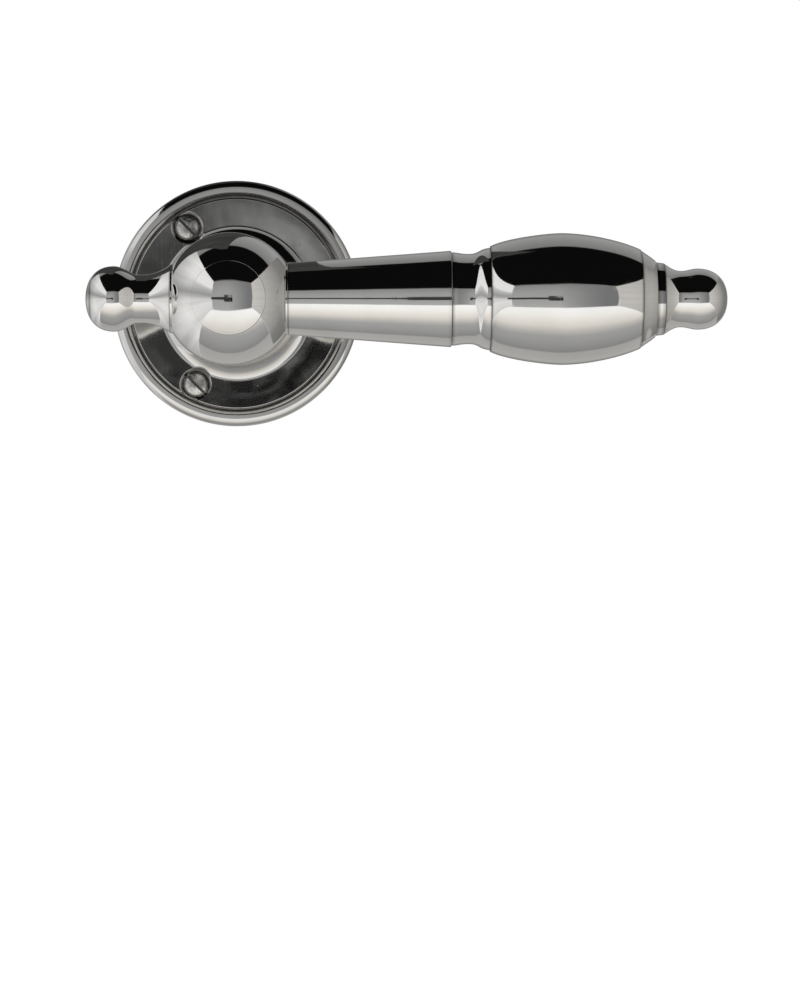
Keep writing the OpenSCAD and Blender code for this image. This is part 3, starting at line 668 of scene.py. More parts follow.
def neck_surface(sizes):
    """Skin of the neck, as rows of place by columns of angle.

    The journal's two flats are radius = min(r, flat / |sin a|), the square socket is
    radius = half width / max(|cos a|, |sin a|), and the columns close up round the grub screw's hole
    as they do on the rose, with h = asin(sqrt(hole^2 - dz^2) / r).
    """
    neck_end = -NECK_LOW[1] - sizes.tenon_len
    journal_z = -NECK_HIGH[1]
    foot_z = BOSS_TOP + 0.1 * MM
    foot_r = PLATE_HIGH[2] + 0.4 * MM
    foot_top = foot_z + sizes.foot_h
    land_low = sizes.bead_place - sizes.bead_w / 2 - 1.4 * MM
    land_up = sizes.bead_place + sizes.bead_w / 2 + 2 * MM
    top_ring = neck_end - sizes.top_ring_h
    low_waist = foot_top + 0.6 * (land_low - foot_top)
    up_waist = land_up + 0.53 * (top_ring - land_up)
    bead_low = (sizes.bead_place - sizes.bead_w / 2, sizes.land_r)
    bead_up = (sizes.bead_place + sizes.bead_w / 2, sizes.land_r)
    bead_top = (sizes.bead_place, sizes.bead_r)
    low = (low_waist, sizes.low_waist_r)
    up = (up_waist, sizes.up_waist_r)
    groove_r = JOURNAL_R - 0.6 * MM
    socket_half = SPINDLE_W / 2 + 0.05 * MM
    flat = JOURNAL_R - 0.8 * MM
    socket_z = -SPINDLE_LOW[1] + 1 * MM
    ring_z, ring_end = 3.395 * MM, 4.395 * MM
    flats_end = -PLATE_LOW[1]
    outer = outline(
        (foot_z, JOURNAL_R),
        (foot_z, foot_r - 0.15 * MM),
        (foot_z + 0.2 * MM, foot_r),
        (foot_top, foot_r),
        curve((foot_top, foot_r), low, -37, 0, 0.44, 0.55),
        curve(low, (land_low, sizes.land_r - 0.1 * MM), 0, 33, 0.25, 0.28),
        (land_low, sizes.land_r),
        bead_low,
        curve(bead_low, bead_top, 60, 0, 0.3, 0.5),
        curve(bead_top, bead_up, 0, -60, 0.5, 0.3),
        (land_up, sizes.land_r),
        (land_up, sizes.land_r - 0.15 * MM),
        curve((land_up, sizes.land_r - 0.15 * MM), up, -36, 0, 0.28, 0.27),
        curve(up, (top_ring, sizes.top_ring_r - 0.35 * MM), 0, 11, 0.35, 0.43),
        (top_ring, sizes.top_ring_r - 0.1 * MM),
        (top_ring + 0.2 * MM, sizes.top_ring_r),
        (neck_end, sizes.top_ring_r),
        (neck_end, sizes.tenon_r),
        (neck_end + sizes.tenon_len, sizes.tenon_r),
        (neck_end + sizes.tenon_len, 0),
    )
    # Rows that sample the grub screw's hole, which is round when seen along its axis
    grub_place = low_waist + 0.5 * MM
    t = np.linspace(-1, 1, 41)
    hole_rows = grub_place + sizes.grub_hole_r * np.sin(t * np.pi / 2)
    keep = np.abs(outer[:, 0] - grub_place) > sizes.grub_hole_r + 0.02 * MM
    start = int(np.argmax(outer[:, 0] > grub_place))
    below, above = outer[:start][keep[:start]], outer[start:][keep[start:]]
    hole_r = np.interp(hole_rows, outer[start - 60 : start + 60, 0], outer[start - 60 : start + 60, 1])
    skin = np.vstack([below, np.stack([hole_rows, hole_r], 1), above])
    across = np.sqrt(np.clip(sizes.grub_hole_r**2 - (skin[:, 0] - grub_place) ** 2, 0, None))
    across = np.where((skin[:, 1] > sizes.tenon_r) & (across > 1e-6), across, 0)
    half = np.arcsin(across / np.maximum(skin[:, 1], MM))

    journal = np.array([
        [socket_z, 0, 0],
        [socket_z, socket_half, 1],
        [journal_z, socket_half, 1],
        [journal_z, JOURNAL_R, 2],
        [ring_z, JOURNAL_R, 2],
        [ring_z, groove_r, 2],
        [ring_end, groove_r, 2],
        [ring_end, JOURNAL_R, 2],
        [flats_end, JOURNAL_R, 2],
        [flats_end, JOURNAL_R, 0],
    ])
    a = np.radians(np.linspace(-90, 270, 241))
    square = socket_half / np.maximum(np.abs(np.cos(a)), np.abs(np.sin(a)))
    flatted = np.minimum(JOURNAL_R, flat / np.maximum(np.abs(np.sin(a)), 1e-6))
    kind = journal[:, 2:]
    round_r = journal[:, 1:2]
    inside = np.where(kind == 1, square, np.where(kind == 2, np.minimum(round_r, flatted), round_r))
    place = np.r_[journal[:, 0], skin[:, 0]]
    radius = np.vstack([inside, np.repeat(skin[:, 1:], len(a), 1)])
    half = np.r_[0 * journal[:, 0], half]
    away = (a - a[0]) / (a[-1] - a[0]) * 2 - 1
    angles = np.pi / 2 + away[None, :] * (np.pi - half[:, None])
    path = np.stack([place, np.r_[journal[:, 1], skin[:, 1]]], 1)
    whole = {
        "points": out_of_door(place[:, None] + 0 * angles, radius * np.cos(angles), radius * np.sin(angles)),
        "along": lengths(path),
        "nook": nooks(path),
    }
    # The hole's wall, from the waist in to a closed end just outside the socket
    hole_x = np.sqrt(np.clip(sizes.grub_hole_r**2 - (hole_rows - grub_place) ** 2, 0, None))
    loop_x = np.r_[-hole_x, hole_x[::-1]]
    loop_place = np.r_[hole_rows, hole_rows[::-1]]
    loop_r = np.r_[hole_r, hole_r[::-1]]
    depth_out = np.sqrt(loop_r**2 - loop_x**2)
    depth_in = socket_half + 0.15 * MM
    steps = [
        (loop_place, loop_x, depth_out),
        (loop_place, loop_x, 0 * depth_out + depth_in),
        (0 * loop_place + grub_place, 0 * loop_x, 0 * depth_out + depth_in),
    ]
    place, x, z = (np.stack([s[k] for s in steps]) for k in range(3))
    return [whole, {"points": out_of_door(place, x, -z)}]


# Ball and lever


def ball_patch(sign_x, sign_out, sign_up, side_r, end_r):
    """An eighth of the ball, between the edge circle of a side seat and that of an end seat.

    For s from 0 to 1 the point turns a quarter round both circles, and for t it goes from the side
    circle's point A(s) over M(s) = cos(s) m + sin(s) up to the end circle's point B(s), as
    normalised straight stretches, so that every point lies on the ball.
    """
    s = np.linspace(0, np.pi / 2, 41)[:, None, None]
    across = np.array([1.0, 0, 0])
    out = np.array([0, 1.0, 0])
    up = np.array([0, 0, 1.0])
    side_c = math.sqrt(1 - (side_r / BALL_R) ** 2)
    end_c = math.sqrt(1 - (end_r / BALL_R) ** 2)
    a = side_c * across + side_r / BALL_R * (np.cos(s) * out + np.sin(s) * up)
    b = end_c * out + end_r / BALL_R * (np.cos(s) * across + np.sin(s) * up)
    side_tilt, end_tilt = math.asin(side_r / BALL_R), math.pi / 2 - math.asin(end_r / BALL_R)
    middle = (side_tilt + end_tilt) / 2
    m = np.cos(s) * (math.cos(middle) * across + math.sin(middle) * out) + np.sin(s) * up
    t = np.linspace(0, 1, 25)[None, :, None]
    line = np.concatenate([a * (1 - t) + m * t, (m * (1 - t) + b * t)[:, 1:]], axis=1)
    line = BALL_R * line / np.linalg.norm(line, axis=2, keepdims=True)
    points = line * np.array([sign_x, sign_out, sign_up])
    return {"points": out_of_door(PROJECTION + points[..., 1], points[..., 0], points[..., 2])}


def ball_surface(lever, neck):
    """Eight patches of the ball and the turned seats of its four neighbours, each with its bore."""
    cap_edge = CAP_HIGH[0] - lever.cap_lip
    grip_seat = BALL_HIGH[0]
    tail_seat = -BALL_LOW[0]
    grids = []
    for sign_x, side_r in ((1, lever.taper_r), (-1, lever.tail_foot_r)):
        for sign_out, end_r in ((1, cap_edge), (-1, neck.top_ring_r)):
            for sign_up in (1, -1):
                grids.append(ball_patch(sign_x, sign_out, sign_up, side_r, end_r))

    def chord(r):
        return math.sqrt(BALL_R**2 - r**2)

    def seat(edge_r, seat_place, bore_r, bore_end):
        return np.vstack([
            [chord(edge_r), edge_r],
            outline(
                (chord(edge_r) + 1e-6, edge_r),
                (seat_place, edge_r),
                (seat_place, bore_r),
                (bore_end, bore_r),
                (bore_end, 0),
                ease=0.06 * MM,
            ),
        ])

    def flat(edge_r, bore_r, bore_end):
        face = chord(edge_r)
        return finely(np.array([[face, edge_r], [face, bore_r], [bore_end, bore_r], [bore_end, 0]]))

    def out_from_centre(along, right, up):
        return out_of_door(PROJECTION + along, right, up)

    def down_from_centre(along, right, up):
        return out_of_door(PROJECTION - along, right, up)

    rod_start = ROD_LOW[0] - 0.1 * MM
    tenon_end = chord(neck.top_ring_r) - neck.tenon_len - 0.3 * MM
    fit = 0.05 * MM
    seats = (
        (seat(lever.taper_r, grip_seat, lever.bore_r - fit, rod_start), along_lever),
        (seat(lever.tail_foot_r, tail_seat, lever.spigot_r + fit, rod_start), along_tail),
        (flat(cap_edge, lever.cap_spigot_r + fit, chord(cap_edge) - 5.3 * MM), out_from_centre),
        (flat(neck.top_ring_r, neck.tenon_r + fit, tenon_end), down_from_centre),
    )
    return grids + [turned(line, axis, 160) for line, axis in seats]


def cap_outline(lever):
    """Domed cap from its spigot's end to the crown, as distances from the door."""
    seat = PROJECTION + math.sqrt(BALL_R**2 - (CAP_HIGH[0] - lever.cap_lip) ** 2)
    radius = CAP_HIGH[0]
    crown = -CAP_LOW[1]
    edge = seat + 0.24 * (crown - seat)
    rolled = (edge + 0.45 * MM, radius - 0.5 * MM)
    return outline(
        (-CAP_HIGH[1], 0),
        (-CAP_HIGH[1], lever.cap_spigot_r),
        (seat, lever.cap_spigot_r),
        (seat, radius - 0.2 * MM),
        (seat + 0.2 * MM, radius),
        (edge, radius),
        curve((edge, radius), rolled, 0, -60, 0.4, 0.4),
        curve(rolled, (crown, 0), -63, -90, 0.35, 0.35),
        ease=0.08 * MM,
    )


def tail_outline(lever):
    low, high = span("tail_knob")
    start = -BALL_LOW[0]
    size = -low[0] - start
    waist = (start + 0.33 * size, lever.tail_waist_r)
    waist_end = (start + 0.4 * size, lever.tail_waist_r)
    crown = (start + 0.67 * size, lever.tail_r)
    return outline(
        (-high[0], 0),
        (-high[0], lever.spigot_r),
        (start, lever.spigot_r),
        (start, lever.tail_foot_r),
        curve((start, lever.tail_foot_r), waist, -36, 0, 0.36, 0.36),
        waist_end,
        curve(waist_end, crown, 0, 0, 0.19, 0.42),
        curve(crown, (start + size, 0), 0, -90, 0.43, 0.44),
        ease=0.08 * MM,
    )


def bored(low, high, bore_r, *stretches, ease=0.08 * MM):
    """Closed outline of a piece that a rod passes through, from its near bore edge round its outside."""
    return outline((low, bore_r), *stretches, (high, bore_r), (low, bore_r), ease=ease)


def taper_outline(lever):
    low, high = span("grip_taper")
    start, end, end_r = low[0], high[0], high[2]
    return bored(
        start, end, lever.bore_r,
        (start, lever.taper_r),
        (end - 0.15 * MM, end_r),
        (end, end_r - 0.15 * MM),
    )


def cove_outline(lever):
    low, high = span("cove_ring")
    start, end, end_r = low[0], high[0], high[2]
    edge = (start + 0.7 * MM, lever.cove_r)
    lip = (end - 0.3 * MM, end_r)
    return bored(
        start, end, lever.bore_r,
        (start, lever.cove_r),
        edge,
        curve(edge, lip, -10, 7, 0.78, 0.4),
        (end, end_r),
    )


def barrel_outline(lever):
    low, high = span("grip_barrel")
    start, end, radius = low[0], high[0], high[2]
    belly = (start + 0.475 * (end - start), radius)
    return bored(
        start, end, lever.bore_r,
        (start, lever.barrel_start_r),
        curve((start, lever.barrel_start_r), belly, math.degrees(lever.barrel_slope), 0, 0.22, 0.21),
        curve(belly, (end, lever.barrel_end_r), 0, -25, 0.31, 0.28),
    )


def collar_outline(lever):
    low, high = span("end_collar")
    start, end, radius = low[0], high[0], high[2]
    shoulder = start + 0.64 * (end - start)
    return bored(
        start, end, lever.bore_r,
        (start, radius),
        curve((start, radius), (shoulder, lever.ring_r + 0.4 * MM), -38, -41),
        (shoulder, lever.ring_r + 0.1 * MM),
        (end, lever.ring_r - 0.13 * MM),
    )


def finial_outline(lever):
    low, high = span("tip_finial")
    start, end = low[0], high[0]
    size = end - start
    waist = (start + 0.265 * size, lever.finial_waist_r)
    crown = (start + 0.535 * size, lever.finial_r)
    bore_end = ROD_HIGH[0] + 0.3 * MM
    return outline(
        (bore_end, 0),
        (bore_end, lever.bore_r),
        (start, lever.bore_r),
        (start, lever.ring_r - 0.13 * MM),
        curve((start, lever.ring_r - 0.13 * MM), waist, -33, 0),
        curve(waist, crown, 0, 0, 0.42, 0.37),
        curve(crown, (end, 0), 0, -90, 0.43, 0.45),
        ease=0.08 * MM,
    )


# Return spring


def spring_path():
    """Middle line of the torsion spring: a leg in the rose's slot, the coil, and a leg up into the lug.

    The coil is (r cos a, r sin a, rise) with the rise in proportion to the angle. Both ends bend into
    their legs along cubics.
    """
    wire = SPRING_WIRE
    coil_r = PLATE_HIGH[2] - 0.6 * MM - wire / 2
    base = wire / 2 + 0.3 * MM
    pitch = wire + 0.03 * MM
    turns = 1.5
    start, bend = -90, 12
    end = start + 360 * turns
    top = base + turns * pitch
    plate_z = -PLATE_HIGH[1]
    plate_t = PLATE_HIGH[1] - PLATE_LOW[1]

    def around(r, degrees, z):
        a = np.radians(degrees)
        return np.stack([r * np.cos(a), r * np.sin(a), z + 0 * a], axis=-1)

    def cubic(p, u, v, q):
        t = np.linspace(0, 1, 13)[1:, None]
        return (1 - t) ** 3 * p + 3 * t * (1 - t) ** 2 * u + 3 * t**2 * (1 - t) * v + t**3 * q

    out = around(CAVITY_R + 1.8 * MM, start, base)
    knee = around(coil_r + 0.6 * wire, start, base)
    first = around(coil_r, start + bend, base)
    last = around(coil_r, end - 0.9 * bend, top)
    lift = around(coil_r, end, plate_z - 0.35 * MM)
    t = np.linspace(0, 1, 121)
    coil = around(coil_r, (start + bend) * (1 - t) + (end - 0.9 * bend) * t, base * (1 - t) + top * t)
    straight = np.linspace(0, 1, 6)[:-1, None] * (knee - out) + out
    return np.vstack([
        straight,
        [knee],
        cubic(knee, around(coil_r + 0.4 * MM, start, base), around(coil_r, start + 0.4 * bend, base), first),
        coil[1:],
        cubic(last, around(coil_r, end - 0.3 * bend, top), around(coil_r, end, top + 0.1 * wire), lift),
        [around(coil_r, end, plate_z + 0.8 * plate_t)],
    ])


def tube_surface(path, radius, sides=28):
    """Round wire along a path: path(i) + radius (cos b side(i) + sin b across(i)), with closed round ends."""
    heading = np.gradient(path, axis=0)
    heading /= np.linalg.norm(heading, axis=1, keepdims=True)
    middle = np.array([0.0, 0.0, 1.0])
    radial = path * np.array([1, 1, 0])
    radial /= np.linalg.norm(radial, axis=1, keepdims=True)
    upright = np.abs(heading @ middle)[:, None]
    guide = radial * upright + middle * (1 - upright)
    guide = np.where(np.abs((heading * radial).sum(1, keepdims=True)) > 0.7, middle, guide)
    side = guide - heading * (guide * heading).sum(1, keepdims=True)
    side /= np.linalg.norm(side, axis=1, keepdims=True)
    across = np.cross(heading, side)
    points = np.vstack([path[:1], path[:1], path, path[-1:], path[-1:]])
    side = np.vstack([side[:1], side[:1], side, side[-1:], side[-1:]])
    across = np.vstack([across[:1], across[:1], across, across[-1:], across[-1:]])
    scale = np.r_[0, 0.86, np.ones(len(path)), 0.86, 0]
    points[2] = path[0] + heading[0] * 0.14 * radius
    points[-3] = path[-1] - heading[-1] * 0.14 * radius
    b = np.linspace(0, 2 * np.pi, sides + 1)[None, :, None]
    ring = np.cos(b) * side[:, None] + np.sin(b) * across[:, None]
    grid = points[:, None] + radius * scale[:, None, None] * ring
    return {"points": out_of_door(grid[..., 2], grid[..., 0], grid[..., 1]), "along": lengths(points)}


def spindle_surface():
    """Square bar with eased corners and bevelled ends.

    The section's radius is min(half / max(|cos a|, |sin a|), corner), and the ends shrink it by the bevel.
    """
    half = SPINDLE_W / 2
    corner = half * math.sqrt(2) - 0.35 * MM
    a = np.radians(np.linspace(-45, 315, 241))
    square = half / np.maximum(np.abs(np.cos(a)), np.abs(np.sin(a)))
    start, end = -SPINDLE_HIGH[1], -SPINDLE_LOW[1]
    bevel = 1 * MM
    long_way = np.linspace(start + bevel, end - bevel, 60)
    place = np.r_[start, start, long_way, end, end]
    limit = np.r_[0, corner - bevel, np.full(60, corner), corner - bevel, 0]
    radius = np.minimum(square[None, :], limit[:, None])
    return {
        "points": out_of_door(place[:, None] + 0 * radius, radius * np.cos(a), radius * np.sin(a)),
        "along": lengths(np.stack([place, limit], 1)),
    }


# Finishes


class Signal:
    """A node output that can be used in sums: each operator adds the Math node that works it out."""

    def __init__(self, bench, socket):
        self.bench = bench
        self.socket = socket

    def sum_of(self, operation, first, second):
        return self.bench.add("ShaderNodeMath", {"operation": operation}, {0: first, 1: second})

    def __add__(self, other):
        return self.sum_of("ADD", self, other)

    def __radd__(self, other):
        return self.sum_of("ADD", other, self)

    def __sub__(self, other):
        return self.sum_of("SUBTRACT", self, other)

    def __rsub__(self, other):
        return self.sum_of("SUBTRACT", other, self)

    def __mul__(self, other):
        return self.sum_of("MULTIPLY", self, other)

    def __rmul__(self, other):
        return self.sum_of("MULTIPLY", other, self)

    def __truediv__(self, other):
        return self.sum_of("DIVIDE", self, other)

    def __rtruediv__(self, other):
        return self.sum_of("DIVIDE", other, self)

    def __gt__(self, other):
        return self.sum_of("GREATER_THAN", self, other)

    def __lt__(self, other):
        return self.sum_of("LESS_THAN", self, other)

    def most(self, other):
        return self.sum_of("MAXIMUM", self, other)

    def least(self, other):
        return self.sum_of("MINIMUM", self, other)

    def within(self, low, high, out_low=0.0, out_high=1.0):
        """This value carried from low..high to out_low..out_high, and held at the ends."""
        inputs = {"Value": self, "From Min": low, "From Max": high, "To Min": out_low, "To Max": out_high}
        return self.bench.add("ShaderNodeMapRange", {"clamp": True}, inputs, "Result")


class Bench:
    """Adds nodes to one node tree."""

    def __init__(self, tree):
        self.tree = tree
        tree.nodes.clear()

    def add(self, kind, settings, inputs, output=0):
        """Adds a node: its settings come first, then its inputs are linked or set. Returns one output."""
        node = self.tree.nodes.new(kind)
        for name, value in settings.items():
            if name == "stops":
                self.set_stops(node.color_ramp, value)
            else:
                setattr(node, name, value)
        for name, value in inputs.items():
            self.feed(node.inputs[name], value)
        return Signal(self, node.outputs[output]) if node.outputs else node

    def feed(self, socket, value):
        if isinstance(value, Signal):
            self.tree.links.new(value.socket, socket)
        elif socket.type == "RGBA" and len(value) == 3:
            socket.default_value = (*value, 1.0)
        else:
            socket.default_value = value

    def set_stops(self, ramp, stops):
        while len(ramp.elements) > 1:
            ramp.elements.remove(ramp.elements[-1])
        for number, (place, tone) in enumerate(stops):
            stop = ramp.elements[0] if number == 0 else ramp.elements.new(place)
            stop.position = place
            stop.color = (*tone, 1.0) if isinstance(tone, tuple) else (tone, tone, tone, 1.0)

    def blend(self, share_of, first, second, way="MIX"):
        """Mixes two colours."""
        settings = {"data_type": "RGBA", "blend_type": way}
        return self.add("ShaderNodeMix", settings, {0: share_of, 6: first, 7: second}, 2)

    def noise(self, place, scale, detail=3.0, roughness=0.5, distortion=0.0):
        inputs = {"Vector": place, "Scale": scale, "Detail": detail}
        inputs = {**inputs, "Roughness": roughness, "Distortion": distortion}
        return self.add("ShaderNodeTexNoise", {}, inputs)

    def stretched(self, place, factors, turn=(0, 0, 0)):
        return self.add("ShaderNodeMapping", {}, {"Vector": place, "Rotation": turn, "Scale": factors})

    def relief(self, *layers):
        """Bumps laid one on another, each from a height and its depth in metres."""
        under = {}
        for height, depth in layers:
            inputs = {"Height": height, "Distance": depth, "Strength": 1.0, **under}
            under = {"Normal": self.add("ShaderNodeBump", {}, inputs)}
        return under["Normal"]

    def finish(self, **inputs):
        """Ends the tree in a Principled surface; constant values are set on its own sockets."""
        named = {name.replace("_", " "): value for name, value in inputs.items()}
        surface = self.add("ShaderNodeBsdfPrincipled", {}, named)
        self.add("ShaderNodeOutputMaterial", {}, {"Surface": surface})


def new_finish(name):
    """A new material, its bench, and the place on the object that its patterns are drawn at."""
    material = bpy.data.materials.new(name)
    material.use_nodes = True
    bench = Bench(material.node_tree)
    return material, bench, bench.add("ShaderNodeTexCoord", {}, {}, "Object")


def pits(bench, place, scale, size, share_kept):
    """Small round marks, 1 in a mark: the cells of a Voronoi pattern whose own random value is low."""
    near = bench.add("ShaderNodeTexVoronoi", {}, {"Vector": place, "Scale": scale}, "Distance")
    cell = bench.add("ShaderNodeTexVoronoi", {}, {"Vector": place, "Scale": scale}, "Color")
    chance = bench.add("ShaderNodeSeparateColor", {}, {"Color": cell}, "Red")
    return near.within(size, size * 0.5) * (chance < share_kept)


def hairlines(bench, place, direction, scale, share_kept):
    """Fine straight scratches: a noise stretched a hundredfold along one direction, cut to its crests."""
    lines = bench.noise(bench.stretched(place, (scale, scale, 0.012 * scale), direction), 1.0, 2.0, 0.6)
    patches = bench.noise(place, 0.04 * scale, 2.0)
    return lines.within(share_kept, share_kept + 0.06) * patches.within(0.5, 0.62)


def polished_nickel(looks, name="polished_nickel", wear=0.0, ring=0.5, bright=1.0):
    """Bright polished nickel: slow waves, turning rings, wiping marks, hairlines, pits and dull seams."""
    material, bench, place = new_finish(name)
    turning = bench.add("ShaderNodeUVMap", {"uv_map": "turning"}, {})
    seam = bench.add("ShaderNodeAttribute", {"attribute_name": "nook"}, {}, "Fac")
    waves = bench.noise(place, 95.0, 1.5, 0.45)
    ripples = bench.noise(place, 420.0, 2.0, 0.5)
    rings = bench.noise(bench.stretched(turning, (1.6, 26.0, 1.0)), 1.0, 3.0, 0.65)
    clouds = bench.noise(place, 70.0, 4.0, 0.6, 0.6)
    wiped = bench.noise(bench.stretched(place, (60.0, 340.0, 160.0), (0.4, 0.2, 0.9)), 1.0, 4.0, 0.65)
    spots = pits(bench, place, 640.0, 0.11, 0.015 + 0.2 * wear)
    lines = hairlines(bench, place, (0.5, 1.1, 0.3), 2600.0, 0.62)
    cross = hairlines(bench, place, (1.3, 0.2, 2.1), 2300.0, 0.64)
    scratches = (lines + cross).least(1.0)
    dirt = seam * bench.noise(place, 500.0, 1.0).within(0.3, 0.6, 0.85, 1.0)
    dull = clouds.within(0.42, 0.68) * wiped.within(0.4, 0.7)
    clean = tuple(bright * c for c in looks.nickel)
    tint = bench.blend(clouds.within(0.35, 0.7), clean, tuple(0.93 * c for c in clean))
    tone = bench.blend(dirt * 0.9, tint, tuple(0.6 * c for c in looks.tarnish))
    tone = bench.blend(spots * 0.5, tone, tuple(looks.tarnish))
    rough = looks.polish + 0.3 * wear + dull * looks.smear + dirt * 0.05 + spots * 0.2 + scratches * 0.04
    shape = bench.relief(
        (waves, 70e-6),
        (ripples, 1.6e-6),
        (rings, 1.2e-6 * ring),
        (scratches * -1.0, 0.8e-6),
        (spots * -1.0, 3e-6),
    )
    bench.finish(Base_Color=tone, Metallic=1.0, Roughness=rough, Normal=shape)
    return material


def rose_nickel(looks):
    """Nickel of the rose: the same plate, greyer and more wiped."""
    return polished_nickel(looks, "rose_nickel", 0.04, 0.8, 0.82)


def worn_screw_nickel(looks):
    """Nickel of the screws: driver marks across the heads, a grainy plate and dark slots."""
    material, bench, place = new_finish("screw_nickel")
    grain = bench.noise(place, 1500.0, 4.0, 0.6)
    blotch = bench.noise(place, 620.0, 3.0, 0.65, 0.8)
    lines = hairlines(bench, place, (0.2, 0.8, 0.9), 3300.0, 0.5)
    cross = hairlines(bench, place, (1.4, 0.1, 2.3), 2900.0, 0.52)
    scratches = (lines + cross).least(1.0)
    cavity = bench.add("ShaderNodeAttribute", {"attribute_name": "nook"}, {}, "Fac")
    grey = tuple(0.82 * c for c in looks.nickel)
    tone = bench.blend(blotch.within(0.35, 0.65), grey, tuple(0.55 * c for c in looks.nickel))
    worn = (cavity * 0.9 + scratches * 0.25).least(1.0)
    tone = bench.blend(worn, tone, tuple(0.35 * c for c in looks.tarnish))
    rough = 0.14 + 0.16 * blotch + scratches * 0.15 + cavity * 0.2
    shape = bench.relief((grain, 14e-6), (blotch, 120e-6), (scratches * -1.0, 12e-6))
    bench.finish(Base_Color=tone, Metallic=1.0, Roughness=rough, Normal=shape)
    return material


def plain_steel(looks):
    """Drawn steel with fine lines along the bar, a little stain and a satin gloss."""
    material, bench, place = new_finish("plain_steel")
    drawn = bench.noise(bench.stretched(place, (2600.0, 45.0, 2600.0)), 1.0, 4.0, 0.6)
    stain = bench.noise(place, 160.0, 5.0, 0.6, 0.4)
    specks = pits(bench, place, 900.0, 0.2, 0.12)
    tone = bench.blend(stain.within(0.4, 0.7), tuple(looks.steel), tuple(0.7 * c for c in looks.steel))
    tone = bench.blend(specks * 0.7, tone, (0.16, 0.11, 0.08))
    rough = 0.26 + 0.14 * drawn + 0.12 * stain + specks * 0.3
    shape = bench.relief((drawn, 6e-6), (stain, 20e-6))
    bench.finish(Base_Color=tone, Metallic=1.0, Roughness=rough, Normal=shape)
    return material


def spring_steel(looks):
    """Dark oil-tempered spring steel with a bluish bloom."""
    material, bench, place = new_finish("spring_steel")
    bloom = bench.noise(place, 240.0, 4.0, 0.6, 0.5)
    grain = bench.noise(place, 2400.0, 3.0, 0.6)
    blue = (0.17, 0.19, 0.25)
    tone = bench.blend(bloom.within(0.38, 0.66), tuple(looks.spring), blue)
    rough = 0.24 + 0.2 * bloom
    shape = bench.relief((grain, 5e-6))
    bench.finish(Base_Color=tone, Metallic=1.0, Roughness=rough, Normal=shape)
    return material


def black_steel(looks):
    """Blackened steel, rubbed bright in small places."""
    material, bench, place = new_finish("black_steel")
    rubbed = bench.noise(place, 900.0, 5.0, 0.65).within(0.62, 0.75)
    grain = bench.noise(place, 3200.0, 3.0, 0.6)
    tone = bench.blend(rubbed, tuple(looks.black), (0.3, 0.3, 0.31))
    shape = bench.relief((grain, 7e-6))
    bench.finish(Base_Color=tone, Metallic=0.7, Roughness=0.42 - rubbed * 0.12, Normal=shape)
    return material


def bush_nylon(looks):
    """Natural nylon, slightly mottled, with a soft moulded gloss."""
    material, bench, place = new_finish("bush_nylon")
    mottle = bench.noise(place, 300.0, 4.0, 0.6)
    grain = bench.noise(place, 2600.0, 2.0, 0.5)
    tone = bench.blend(mottle.within(0.35, 0.65), tuple(looks.nylon), tuple(0.88 * c for c in looks.nylon))
    shape = bench.relief((grain, 12e-6))
    bench.finish(Base_Color=tone, Roughness=0.42 + 0.14 * mottle, Normal=shape)
    return material


FINISHES = {
    "polished_nickel": polished_nickel,
    "rose_nickel": rose_nickel,
    "screw_nickel": worn_screw_nickel,
    "plain_steel": plain_steel,
    "spring_steel": spring_steel,
    "black_steel": black_steel,
    "bush_nylon": bush_nylon,
}
MADE = {}


def finish_named(slot):
    """The material of a slot, made on its first use."""
    if slot not in MADE:
        MADE[slot] = FINISHES[slot](bpy.context.scene.lever_finish)
    return MADE[slot]


# Studio


